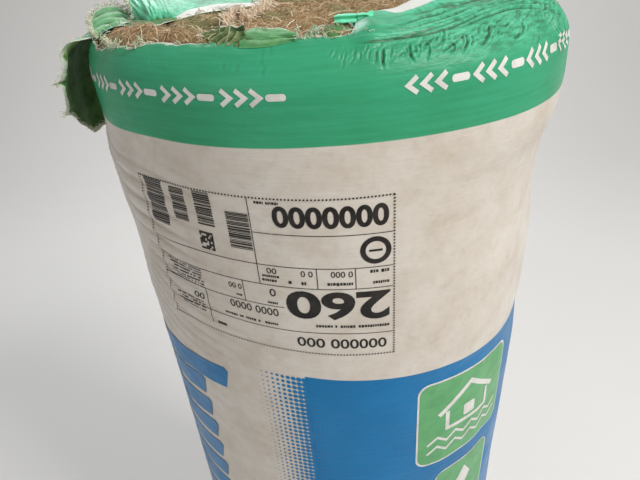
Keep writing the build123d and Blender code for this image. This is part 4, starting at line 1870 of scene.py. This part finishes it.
def flap_fold(u, v):
    """Fine upright creases of the raised part, and a soft crumple all over."""
    lines = 0.0008 * noise(u * 0.20 + 0.03 * v, 0.02 * v, 0, 0.0034, 65) * smooth((0.55 - u) / 0.3)
    soft = 0.0007 * noise(u * 0.20, v * 0.14, 0, 0.022, 61)
    return (lines + soft) * smooth(v / 0.08) * smooth((1 - v) / 0.2)


def flap_margin(u):
    """The unprinted margin starts at a point and widens to the right."""
    return 0.33 * smooth((u - 0.33) / 0.16)


flap_place = net_place(FLAP_NET, flap_fold)
# The flap's outer side is the lit stock: its brighter green is painted light that comes through the film.
standing_flap = torn_film(
    "standing_flap", flap_place, (0.20, 0.14), (170, 110), ("left",), seed=62, faces=(LIT_FILM, INNER_FILM),
    margin=flap_margin, fold=flap_fold, worn=2.0,
)

# %% The flap's hem, folded forward over the wool
HEM_NET = [
    [
        (-0.712, -0.345, 2.2), (-0.680, -0.375, 2.8), (-0.645, -0.405, 3.2), (-0.603, -0.415, 3.4),
        (-0.562, -0.420, 3.4), (-0.524, -0.430, 3.4),
    ],
    [
        (-0.702, -0.420, 2.6), (-0.672, -0.460, 3.4), (-0.634, -0.478, 3.9), (-0.587, -0.490, 4.0),
        (-0.552, -0.475, 3.8), (-0.522, -0.440, 3.4),
    ],
    [
        (-0.696, -0.490, 1.6), (-0.668, -0.535, 2.4), (-0.620, -0.548, 2.8), (-0.570, -0.560, 2.8),
        (-0.545, -0.530, 2.8), (-0.522, -0.455, 3.0),
    ],
]


def hem_fold(u, v):
    """A soft crumple."""
    return 0.0006 * layered(u * 0.045, v * 0.03, 0, 0.009, 67, 2) * smooth(v / 0.2)


hem_place = net_place(HEM_NET, hem_fold)
# The hem is coloured with the shaded stock: its dark green is painted shade.
flap_hem = torn_film(
    "flap_hem", hem_place, (0.045, 0.03), (80, 50), ("end",), seed=68, tooth=0.0010,
    faces=(SHADED_FILM, SHADED_FILM), fold=hem_fold,
)

# %% The gathered tab left of the flap
TAB_NET = [
    [
        (-0.850, -0.410, -7.2), (-0.815, -0.410, -4.7), (-0.779, -0.400, -3.4), (-0.743, -0.360, -2.1),
        (-0.728, -0.305, -0.4),
    ],
    [
        (-0.891, -0.359, -5.2), (-0.843, -0.348, -1.8), (-0.792, -0.343, -0.4), (-0.750, -0.325, -0.3),
        (-0.728, -0.302, 0.1),
    ],
    [
        (-0.918, -0.295, -2.5), (-0.867, -0.277, 1.4), (-0.808, -0.280, 2.7), (-0.759, -0.288, 1.4),
        (-0.728, -0.300, 0.6),
    ],
    [
        (-0.940, -0.214, 0.6), (-0.890, -0.193, 4.8), (-0.826, -0.208, 5.8), (-0.769, -0.245, 3.1),
        (-0.728, -0.298, 1.1),
    ],
    [
        (-0.957, -0.120, 2.6), (-0.913, -0.100, 7.9), (-0.846, -0.130, 8.9), (-0.779, -0.200, 4.8),
        (-0.728, -0.295, 1.6),
    ],
]


def tab_fold(u, v):
    """Creases that radiate from the gathered end at u = 1."""
    open_share = smooth((1 - u) / 0.5)
    rays = crease(4.6 * v + 0.35 * noise(u * 0.05, v * 0.06, 0, 0.02, 78) + 0.4) - 0.45
    soft = 0.0006 * layered(u * 0.05, v * 0.06, 0, 0.009, 77, 2)
    return 0.0022 * rays * open_share * (0.5 + 0.5 * u) + soft * open_share


tab_place = net_place(TAB_NET, tab_fold)
gathered_tab = torn_film(
    "gathered_tab", tab_place, (0.045, 0.05), (90, 90), ("left", "end"), seed=76, tooth=0.0014,
    faces=(INNER_FILM, PRINTED_FILM), fold=tab_fold, worn=1.2,
)

# %% The strip that hangs over the left rim
STRIP_ANGLES = (206, 166)
STRIP_TURN = 5.0
STRIP_FRONT = [
    (-0.0460, 0.0000), (-0.0300, -0.0020), (-0.0160, -0.0058), (-0.0033, -0.0077), (0.0041, -0.0088),
    (0.0098, -0.0125), (0.0149, -0.0241), (0.0202, -0.0382), (0.0249, -0.0548), (0.0270, -0.0716),
]
STRIP_BACK = [
    (-0.050, 0.0000), (-0.036, -0.0010), (-0.022, -0.0030), (-0.008, -0.0080), (0.006, -0.0160),
    (0.016, -0.0300), (0.024, -0.0500), (0.029, -0.0710), (0.029, -0.0910), (0.026, -0.1120),
]
SPIKE_PLACE = 0.74
SPIKE_REACH = 0.0085
TURNED_OUT = 0.0055


def strip_place(u, v):
    """The hanging strip between its front edge (u = 0) and its back edge (u = 1)."""
    share = smooth(u / 0.5)[..., None]
    out, drop = np.moveaxis((1 - share) * through(STRIP_FRONT, v) + share * through(STRIP_BACK, v), -1, 0)
    angle = np.radians(STRIP_ANGLES[0] + (STRIP_ANGLES[1] - STRIP_ANGLES[0]) * u - STRIP_TURN * v)
    loose = smooth(v / 0.15)
    crumple = 0.0016 * noise(u * 0.14, v * 0.17, 0, 0.030, 72)
    crumple = loose * (crumple + 0.0009 * layered(u * 0.14, v * 0.17, 0, 0.011, 73, 2))
    pull = 0.0030 * loose * np.sin(u * 17 + 2 * noise(u, v, 0, 0.4, 75)) * smooth((u - 0.2) / 0.3)
    spike = SPIKE_REACH * np.exp(-((v - SPIKE_PLACE) / 0.016)**2) * smooth(1 - u / 0.10)
    uneven = 0.75 + 0.5 * noise(v, 0, 0, 0.09, 74)
    flare = TURNED_OUT * smooth((v - 0.30) / 0.1) * smooth(1 - u / 0.07) * uneven + spike
    hanging = smooth((v - 0.25) / 0.3)
    radius = ROLL_RADIUS + out + flare + (crumple + pull) * hanging
    z = FILM_TOP + drop + crumple * (1 - hanging) + 0.001
    return np.stack([radius * np.cos(angle), radius * np.sin(angle), z], -1)


def strip_light(u, v):
    """A painted glow where light would shine through the strip: high up, near its front edge."""
    glow = 0.0016 * np.exp(-((u - 0.10) / 0.16)**2 - ((v - 0.43) / 0.10)**2)
    return glow + 0.0003 * noise(u, v, 0, 0.07, 79)


# Painted shade and light: the strip's inner side is the shaded green, and strip_light, kept as its fold,
# turns it to a pale glowing green.
STRIP_FILM = inner_film("strip_film", SHADED_LIGHT, SHADED_DARK, (0.62, 0.90, 0.30, 1), 0.3)
hanging_strip = torn_film(
    "hanging_strip", strip_place, (0.14, 0.17), (110, 170), ("left", "right", "end"), seed=70,
    faces=(PRINTED_FILM, STRIP_FILM), fold=strip_light, worn=3.2,
)

# %% Crumpled bits along the front of the opening
CRUMPLE_NET = [
    [
        (-0.379, -0.800, -2.0), (-0.345, -0.832, -3.3), (-0.311, -0.853, -3.2), (-0.275, -0.868, -3.3),
        (-0.222, -0.879, -3.3),
    ],
    [
        (-0.380, -0.784, -0.3), (-0.346, -0.811, -0.8), (-0.313, -0.829, -0.2), (-0.277, -0.842, 0.5),
        (-0.224, -0.853, 0.8),
    ],
    [
        (-0.381, -0.768, 1.4), (-0.347, -0.791, 1.8), (-0.315, -0.804, 3.0), (-0.278, -0.816, 4.4),
        (-0.228, -0.826, 4.6),
    ],
    [
        (-0.381, -0.752, 3.0), (-0.348, -0.770, 4.5), (-0.317, -0.780, 6.2), (-0.280, -0.790, 8.4),
        (-0.232, -0.798, 8.8),
    ],
]
TONGUE_NET = [
    [
        (-0.247, -0.880, -3.6), (-0.194, -0.894, -3.5), (-0.149, -0.899, -3.2), (-0.105, -0.896, -2.2),
        (-0.063, -0.883, -1.0),
    ],
    [
        (-0.243, -0.862, -0.3), (-0.187, -0.879, -0.3), (-0.143, -0.886, -0.2), (-0.101, -0.888, 0.1),
        (-0.062, -0.886, 0.5),
    ],
    [
        (-0.232, -0.826, 2.6), (-0.180, -0.849, 2.5), (-0.139, -0.860, 2.4), (-0.097, -0.871, 2.2),
        (-0.061, -0.881, 1.8),
    ],
    [
        (-0.214, -0.745, 2.8), (-0.181, -0.757, 3.2), (-0.138, -0.784, 3.2), (-0.096, -0.826, 3.2),
        (-0.060, -0.867, 2.7),
    ],
]


def crumple_fold(u, v):
    """Sharp slanting folds, and a hollow beside the tongue that the fold colours paint dark as shade."""
    phase = 5.4 * u - 2.4 * v + 0.8 * noise(u * 0.045, v * 0.05, 0, 0.016, 81)
    fine = 0.0005 * layered(u * 0.045, v * 0.05, 0, 0.005, 83, 3)
    hollow = -0.0040 * np.exp(-((u - 0.90) / 0.11)**2 - ((v - 0.80) / 0.13)**2)
    return (0.0017 * (crease(phase) - 0.45) + fine) * smooth(v / 0.2 + 0.2) + hollow


def tongue_fold(u, v):
    """A few soft folds that run the piece's length."""
    soft = 0.0010 * noise(u * 0.03, v * 0.06, 0, 0.009, 86)
    return (soft + 0.0006 * layered(u * 0.036, v * 0.048, 0, 0.006, 87, 2)) * smooth(v / 0.2)


crumple_place = net_place(CRUMPLE_NET, crumple_fold)
# The crumple is coloured in painted shade, with painted highlights on its ridges.
front_crumple = torn_film(
    "front_crumple", crumple_place, (0.03, 0.03), (90, 90), ("left", "end"), seed=82, tooth=0.0010,
    faces=(SHADE_OLIVE_FILM, SHADE_OLIVE_FILM), fold=crumple_fold, worn=0.8,
)
tongue_place = net_place(TONGUE_NET, tongue_fold)
folded_tongue = torn_film(
    "folded_tongue", tongue_place, (0.03, 0.03), (60, 60), ("right", "end"), seed=85, tooth=0.0010,
    faces=(TONGUE_FILM, PRINTED_FILM), fold=tongue_fold, worn=0.8,
)

# %% The rolled edge right of the pocket
ROLL_NET = [
    [
        (0.052, -0.743, 1.8), (0.065, -0.748, 1.0), (0.084, -0.751, 1.0), (0.103, -0.754, 1.0),
        (0.118, -0.757, 1.0), (0.142, -0.759, 1.4), (0.172, -0.756, 2.2),
    ],
    [
        (0.047, -0.751, 2.7), (0.065, -0.754, 2.4), (0.084, -0.757, 2.4), (0.102, -0.760, 2.4),
        (0.118, -0.763, 2.4), (0.142, -0.764, 2.8), (0.172, -0.760, 3.6),
    ],
    [
        (0.048, -0.735, 4.2), (0.066, -0.738, 4.2), (0.085, -0.741, 4.2), (0.104, -0.744, 4.2),
        (0.119, -0.747, 4.2), (0.143, -0.748, 4.5), (0.173, -0.745, 4.8),
    ],
    [
        (0.047, -0.741, 5.7), (0.066, -0.744, 6.0), (0.085, -0.747, 6.0), (0.104, -0.750, 6.0),
        (0.119, -0.753, 6.0), (0.143, -0.752, 6.1), (0.173, -0.747, 5.9),
    ],
    [
        (0.054, -0.723, 6.2), (0.067, -0.726, 6.8), (0.086, -0.729, 6.8), (0.105, -0.732, 6.8),
        (0.121, -0.735, 6.8), (0.145, -0.732, 6.8), (0.175, -0.728, 6.2),
    ],
    [
        (0.056, -0.695, 3.6), (0.068, -0.698, 3.6), (0.087, -0.701, 3.6), (0.106, -0.704, 3.6),
        (0.122, -0.707, 3.6), (0.146, -0.704, 3.6), (0.176, -0.700, 3.4),
    ],
]


def roll_fold(u, v):
    """A slight crumple, a pinch across it, and a right end that goes down into the film."""
    pinch = 0.0011 * np.exp(-((u - 0.66) / 0.022)**2)
    return 0.0004 * layered(u * 0.027, v * 0.02, 0, 0.006, 92, 2) - pinch - 0.0030 * smooth((u - 0.80) / 0.2)


rolled_place = net_place(ROLL_NET, roll_fold)
# The rolled edge is coloured in painted light, a brightly lit copy of the film's green.
rolled_edge = torn_film(
    "rolled_edge", rolled_place, (0.027, 0.021), (80, 60), (), seed=93, faces=(LIT_ROLL_FILM, LIT_ROLL_FILM),
)

# %% A scrap of film in the pocket, in painted shade
SCRAP_NET = [
    [(0.030, -0.900, -1.2), (0.039, -0.899, -0.8), (0.050, -0.896, -0.8), (0.059, -0.890, -1.2)],
    [(0.012, -0.868, 0.6), (0.034, -0.870, 1.6), (0.054, -0.867, 1.6), (0.071, -0.860, 0.8)],
    [(0.006, -0.826, 1.8), (0.034, -0.829, 3.0), (0.056, -0.828, 3.0), (0.076, -0.822, 1.8)],
    [(0.012, -0.785, 1.6), (0.035, -0.783, 2.4), (0.054, -0.785, 2.4), (0.071, -0.790, 1.6)],
]
scrap_place = net_place(SCRAP_NET)
# The scrap stands for the dark inside of the pocket: its dark green is painted shade.
shaded_pocket_scrap = torn_film(
    "shaded_pocket_scrap", scrap_place, (0.015, 0.026), (40, 60), ("left", "right", "start", "end"), seed=97,
    tooth=0.0006, faces=(SHADED_FILM, SHADED_FILM), worn=0.4,
)

# %% [markdown]
# Loose fibres make the wool look like wool, and frayed threads stand along each torn edge. One
# Geometry Nodes tree does both: it scatters points over a mesh, puts one of three bent strands
# on each, turns it at random about a heading, and keeps a random shade for the material to read.

# %% Strands by Geometry Nodes
# Sideways and upward bend of each of the three strands, in parts of the bend.
STRAND_BENDS = [(1.0, 0.35), (-0.8, 0.9), (0.25, -0.5)]
STRAND_SCALES = (0.45, 1.3)


def random_value(tree, kind, seed, low=None, high=None):
    """A random value for each point, between two others, or from 0 to 1."""
    made = node(tree, "FunctionNodeRandomValue", {"Seed": seed}, data_type=kind)
    first = {"FLOAT_VECTOR": 0, "FLOAT": 2, "INT": 4}[kind]
    if low is not None:
        made.inputs[first].default_value = low
        made.inputs[first + 1].default_value = high
    return made.outputs[first // 2]


def strand_tree():
    """Geometry Nodes that scatter bent strands over the mesh that they are given."""
    numbers = ("Density", "Length", "Thickness", "Bend", "Tilt", "Spin", "Heading")
    tree, given = geometry_tree("strands", {
        "Geometry": "Geometry", **{name: "Float" for name in numbers}, "Seed": "Int", "Stock": "Material",
    })
    where = node(tree, "GeometryNodeInputNamedAttribute", {"Name": "free"}, data_type="FLOAT")
    density = times(tree, where.outputs["Attribute"], given["Density"])
    points = node(tree, "GeometryNodeDistributePointsOnFaces", {
        "Mesh": given["Geometry"], "Density": density, "Seed": given["Seed"],
    })
    half = times(tree, given["Length"], 0.5)
    back = times(tree, half, -1.0)
    section = node(tree, "GeometryNodeCurvePrimitiveCircle", {"Resolution": 3, "Radius": given["Thickness"]})
    shapes = tree.nodes.new("GeometryNodeGeometryToInstance")
    for across, up in STRAND_BENDS:
        line = node(tree, "GeometryNodeCurveQuadraticBezier", {
            "Resolution": 4,
            "Start": vector_of(tree, X=back),
            "Middle": vector_of(tree, Y=times(tree, given["Bend"], across), Z=times(tree, given["Bend"], up)),
            "End": vector_of(tree, X=half, Z=times(tree, given["Bend"], 0.5 * up)),
        })
        strand = node(tree, "GeometryNodeCurveToMesh", {
            "Curve": line.outputs[0], "Profile Curve": section.outputs[0],
        })
        tree.links.new(strand.outputs[0], shapes.inputs[0])
    spin = random_value(tree, "FLOAT_VECTOR", given["Seed"], (-1, -1, -math.pi), (1, 1, math.pi))
    freedom = vector_of(tree, X=given["Tilt"], Y=given["Tilt"], Z=given["Spin"])
    heading = vector_of(tree, Z=given["Heading"])
    tilted = node(tree, "ShaderNodeVectorMath", {0: spin, 1: freedom, 2: heading}, operation="MULTIPLY_ADD")
    turn = node(tree, "FunctionNodeRotateRotation", {
        "Rotation": points.outputs["Rotation"], "Rotate By": tilted.outputs[0],
    }, rotation_space="LOCAL")
    strands = node(tree, "GeometryNodeInstanceOnPoints", {
        "Points": points.outputs["Points"], "Instance": shapes.outputs[0], "Pick Instance": True,
        "Instance Index": random_value(tree, "INT", given["Seed"], 0, len(STRAND_BENDS) - 1),
        "Rotation": turn.outputs[0], "Scale": random_value(tree, "FLOAT", given["Seed"], *STRAND_SCALES),
    })
    kept = node(tree, "GeometryNodeStoreNamedAttribute", {
        "Geometry": strands.outputs[0], "Name": "shade", "Value": random_value(tree, "FLOAT", given["Seed"]),
    }, data_type="FLOAT", domain="INSTANCE")
    return dressed_result(tree, kept, given["Stock"])


strands_tree = strand_tree()


# %% Strands on a mesh
def strand_material(name, stops, tinted=False):
    """Strands take their colour from their own random shade."""
    material, tree, shader, place = rough_material(name)
    uneven = times(tree, texture_noise(tree, place, 300.0, 2.0), 0.3)
    value = plus(tree, times(tree, kept_number(tree, "shade"), 0.75), uneven)
    colour = colour_ramp(tree, value, stops)
    tree.links.new(tinted_wool(tree, place, colour) if tinted else colour, shader.inputs["Base Color"])
    return material


def strands_on(name, ground_mesh, values):
    """Scatter strands over a mesh and keep the result as a plain mesh."""
    mesh = grown(name, strands_tree, {"Spin": 1.0, "Heading": 0.0, **values}, ground_mesh)
    mesh.name = name
    smooth_faces(mesh)
    print(name, len(mesh.polygons), "faces")
    return place_piece(name, mesh)


# %% Loose fibres on the wool
places = places_of(wool.data.vertices)
bare = smooth(0.3 - opening_distance(places[:, 0], places[:, 1]) / 0.006)
ground = wool.data.copy()
keep_numbers(ground, "free", np.where(places[:, 2] > WOOL_TOP - 0.02, bare, 0))
FIBRE_STOPS = [(0.10, WOOL_DARK), (0.35, WOOL_BROWN), (0.62, WOOL_TAN), (0.90, WOOL_PALE)]
COARSE_STOPS = [(0.10, WOOL_BROWN), (0.45, WOOL_TAN), (0.80, WOOL_PALE)]
wool_fibres = strands_on("wool_fibres", ground, {
    "Density": 150000.0, "Length": 0.0085, "Thickness": 0.00017, "Bend": 0.0030, "Tilt": 0.45, "Seed": 5,
    "Stock": strand_material("loose_fibres", FIBRE_STOPS, True),
})

wool_curls = strands_on("wool_curls", ground, {
    "Density": 11000.0, "Length": 0.0150, "Thickness": 0.00034, "Bend": 0.0060, "Tilt": 0.60, "Seed": 6,
    "Stock": strand_material("coarse_fibres", COARSE_STOPS, True),
})

# %% A pale bundle of wool that lies across the opening
BUNDLE = [
    (-0.274, -0.561), (-0.255, -0.539), (-0.237, -0.505), (-0.22, -0.459), (-0.206, -0.36), (-0.19, -0.252),
    (-0.178, -0.131),
]
BUNDLE_BRANCH = [(-0.318, -0.638), (-0.314, -0.572), (-0.305, -0.505), (-0.292, -0.468), (-0.269, -0.511)]
BUNDLE_STEPS, BUNDLE_ROWS = 80, 7
BUNDLE_FOOT = 0.0010
BUNDLE_HEIGHT = 0.0034


def strip_mesh(name, points, across):
    """A mesh strip from rows of points, each with as many points across, free for strands."""
    faces = []
    for row in range(0, len(points) - across, across):
        for k in range(row, row + across - 1):
            faces.append([k, k + 1, k + across + 1, k + across])
    mesh = mesh_of(name, points, faces)
    keep_numbers(mesh, "free", np.ones(len(points)))
    return mesh


def bundle_ground(line, width):
    """A low uneven ridge along a line, for fibres to stand on."""
    way = ROLL_RADIUS * through(line, np.linspace(0, 1, BUNDLE_STEPS))
    ahead = np.gradient(way, axis=0)
    ahead /= np.linalg.norm(ahead, axis=1, keepdims=True)
    points = []
    for step in range(BUNDLE_STEPS):
        uneven = 0.55 + 0.45 * noise(step * 0.01, 0, 0, 0.09, 101)[0]
        half = width * uneven * (0.4 + smooth(step / 12) * 0.6)
        for place in np.linspace(-1, 1, BUNDLE_ROWS):
            x = way[step, 0] - ahead[step, 1] * half * place
            y = way[step, 1] + ahead[step, 0] * half * place
            points.append((x, y, FILM_TOP + BUNDLE_FOOT + BUNDLE_HEIGHT * (1 - place**2)))
    return strip_mesh("bundle", points, BUNDLE_ROWS)


PALE_STOPS = [(0.10, (0.45, 0.27, 0.17, 1)), (0.40, (0.74, 0.55, 0.40, 1)), (0.85, (0.86, 0.75, 0.60, 1))]
pale_stock = strand_material("pale_fibres", PALE_STOPS)
bundles = []
for bundle_name, line, width in (("pale_bundle", BUNDLE, 0.0040), ("pale_branch", BUNDLE_BRANCH, 0.0024)):
    bundles.append(strands_on(bundle_name, bundle_ground(line, width), {
        "Density": 560000.0, "Length": 0.0120, "Thickness": 0.00034, "Bend": 0.0012, "Tilt": 0.12, "Seed": 11,
        "Spin": 0.09, "Heading": 1.25, "Stock": pale_stock,
    }))

# %% Frayed threads along the torn edges
FRAY_STOPS = [(0.0, (0.72, 0.62, 0.44, 1)), (0.6, (0.86, 0.80, 0.66, 1)), (0.9, (0.50, 0.66, 0.44, 1))]


def edge_ribbon(points, width):
    """A narrow ribbon along a line of points, for threads to stand on."""
    low = np.array(points)
    high = low + np.array([0, 0, width])
    count = len(low)
    faces = [[i, i + 1, count + i + 1, count + i] for i in range(count - 1)]
    mesh = mesh_of("ribbon", np.concatenate([low, high]).tolist(), faces)
    keep_numbers(mesh, "free", np.ones(2 * count))
    return mesh


def sheet_edge(place, u, v):
    """Points along an edge of a loose sheet."""
    u, v = np.broadcast_arrays(np.asarray(u, float), np.asarray(v, float))
    return place(u, v)


fray_stock = strand_material("frayed_threads", FRAY_STOPS)
# Round the pocket the threads are still green.
CURL_STOPS = [(0.0, (0.10, 0.45, 0.24, 1)), (0.5, (0.22, 0.70, 0.46, 1)), (0.9, (0.80, 0.82, 0.70, 1))]
curl_stock = strand_material("green_curls", CURL_STOPS)
CURLED = ("pocket_left", "pocket_right")
FRAY_RISE = 0.001
share = np.linspace(0, 1, 60)


def crest_line(path, rise=0.0):
    """Points along a path, at the height of the plain film or a little above it."""
    x, y = (ROLL_RADIUS * through(path, np.linspace(0, 1, 120))).T
    over = np.clip((np.hypot(x, y) - RING_START) / RIM, 0, 1)
    return np.stack([x, y, FILM_TOP - RIM * (1 - np.sqrt(1 - over**2)) - 0.0005 + rise], -1)


LEFT_FRAY = [(-0.785, -0.512), (-0.754, -0.562), (-0.727, -0.604), (-0.701, -0.629), (-0.677, -0.646)]
FRONT_FRAY = [(-0.640, -0.692), (-0.623, -0.701), (-0.603, -0.708), (-0.584, -0.706), (-0.569, -0.711)]
POCKET_LEFT = [(-0.045, -0.878), (-0.025, -0.868), (-0.012, -0.850), (-0.002, -0.870), (0.004, -0.884)]
POCKET_RIGHT = [(0.080, -0.872), (0.092, -0.850), (0.098, -0.820), (0.104, -0.790)]
POCKET = [(-0.06, -0.880), (0.0, -0.886), (0.05, -0.884), (0.09, -0.874), (0.13, -0.880), (0.17, -0.878)]
fray_lines = {
    "tear_left": (crest_line(LEFT_FRAY, FRAY_RISE), 0.005),
    "tear_front": (crest_line(FRONT_FRAY, FRAY_RISE), 0.005),
    "tear_left_fine": (crest_line(TEAR[3:12]), 0.0020),
    "tear_right": (crest_line(TEAR[15:19]), 0.0030),
    "strip_front": (sheet_edge(strip_place, 0.02, share), 0.003),
    "strip_hem": (sheet_edge(strip_place, share, 0.975), 0.003),
    "flap_left": (sheet_edge(flap_place, 0.015, share[:40]), 0.004),
    "tab_left": (sheet_edge(tab_place, 0.03, share), 0.004),
    "tab_back": (sheet_edge(tab_place, share[:50], 0.97), 0.004),
    "crumple_left": (sheet_edge(crumple_place, 0.05, share), 0.003),
    "crumple_top": (sheet_edge(crumple_place, share, 0.96), 0.003),
    "tongue_right": (sheet_edge(tongue_place, 0.96, share), 0.003),
    "scrap": (sheet_edge(scrap_place, share, 0.03), 0.002),
    "pocket_left": (crest_line(POCKET_LEFT, FRAY_RISE), 0.005),
    "pocket_right": (crest_line(POCKET_RIGHT, FRAY_RISE), 0.004),
    "pocket": (crest_line(POCKET), 0.003),
}
FRAY_DENSITY = 230000.0
FRAY_DENSITIES = {
    "flap_left": 480000.0, "tab_left": 420000.0, "tab_back": 420000.0, "crumple_left": 120000.0,
    "crumple_top": 120000.0, "tear_left_fine": 90000.0, "tear_left": 420000.0, "tear_front": 420000.0,
}
FRAY_SEED = 20
frays = []
for number_of_line, (line_name, (line, width)) in enumerate(fray_lines.items()):
    frays.append(strands_on("fray_" + line_name, edge_ribbon(line, width), {
        "Density": FRAY_DENSITIES.get(line_name, FRAY_DENSITY),
        "Length": 0.0050, "Thickness": 0.00028, "Bend": 0.0022, "Tilt": 1.2,
        "Seed": FRAY_SEED + number_of_line, "Stock": curl_stock if line_name in CURLED else fray_stock,
    }))

# %% [markdown]
# Floor, backdrop and light are plain. The lamps are large and soft, the strongest from the upper
# right, so that the film's folds read by their shading without hard glare.

# %% Floor, backdrop and light
GROUND_FRONT = -6.0
GROUND_DEPTH = 3.2
GROUND_HALF_WIDTH = 7.0
BACKDROP_HEIGHT = 4.5
BACKDROP_CURVE = 1.2
CURVE_STEPS = 8


def stage_material():
    """Pale ground: shows light to the camera and in reflections, and keeps the shadow."""
    material, tree, shader, place = new_material("pale_ground", Roughness=0.9)
    soft = texture_noise(tree, place, 1.5, 2.0)
    colour = blend_colours(tree, soft, (0.80, 0.79, 0.77, 1), (0.84, 0.83, 0.81, 1))
    tree.links.new(colour, shader.inputs["Base Color"])
    return material


def ground_and_backdrop():
    """A floor that curves up into a backdrop, as one swept strip."""
    bend = GROUND_DEPTH - BACKDROP_CURVE
    line = [(GROUND_FRONT, 0.0), (bend, 0.0)]
    for step in range(1, CURVE_STEPS + 1):
        angle = math.pi / 2 * step / CURVE_STEPS
        along, up = BACKDROP_CURVE * math.sin(angle), BACKDROP_CURVE - BACKDROP_CURVE * math.cos(angle)
        line.append((bend + along, up))
    line.append((GROUND_DEPTH, BACKDROP_HEIGHT))
    points = [(side * GROUND_HALF_WIDTH, y, z) for y, z in line for side in (-1, 1)]
    faces = [[2 * i, 2 * i + 1, 2 * i + 3, 2 * i + 2] for i in range(len(line) - 1)]
    mesh = mesh_of("ground", points, faces)
    smooth_faces(mesh)
    mesh.materials.append(stage_material())
    return place_piece("ground", mesh)


def soft_lamp(name, place, target, size, power, colour):
    """A square area lamp that faces a target."""
    data = bpy.data.lights.new(name, "AREA")
    data.size = size
    data.energy = power
    data.color = colour
    lamp = place_piece(name, data)
    aim = (Vector(target) - Vector(place)).to_track_quat("-Z", "Y")
    lamp.matrix_world = Matrix.Translation(place) @ aim.to_matrix().to_4x4()


ground_and_backdrop()
soft_lamp("key_lamp", (1.9, -1.3, 2.9), (0, 0, 1.1), size=1.0, power=76, colour=(1.0, 0.97, 0.93))
soft_lamp("fill_lamp", (-2.4, -2.4, 2.0), (0, 0, 0.9), size=2.0, power=13, colour=(1.0, 0.95, 0.88))
soft_lamp("back_lamp", (-0.6, 2.4, 2.8), (0, 0, 1.1), size=1.4, power=38, colour=(0.95, 0.98, 1.0))
world = bpy.data.worlds.new("pale_world")
world.use_nodes = True
sky = world.node_tree.nodes["Background"].inputs
sky["Color"].default_value = (0.86, 0.87, 0.90, 1)
sky["Strength"].default_value = 0.38
bpy.context.scene.world = world
bpy.context.scene.view_settings.view_transform = "Standard"
print("stage and lamps set")

# %% [markdown]
# Last, each piece is told which body carries it, the solid model's film and wool are hidden,
# and the flat and made areas of the loose sheets are printed.

# %% Bodies, hidden parts and areas
loose_pieces = [
    standing_flap, flap_hem, gathered_tab, hanging_strip, front_crumple, folded_tongue, rolled_edge,
    shaded_pocket_scrap,
]
prints = [panel_print, *borders, halftone, frame_piece, green_piece, sign_piece, white_piece, bars_piece]
for piece in [*prints, *loose_pieces, *frays, sleeve, crown]:
    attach(piece, "root")
for piece in [wool, wool_fibres, wool_curls, *bundles]:
    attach(piece, "root")
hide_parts("film_wrap")
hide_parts("film_wrap")
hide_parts("wool_roll")
flat_area(crown)
for piece in loose_pieces:
    made_area = sum(face.area for face in piece.data.polygons)
    print(piece.name, "flat", round(flat_area(piece) * 1e4, 1), "cm2, made", round(made_area * 1e4, 1), "cm2")
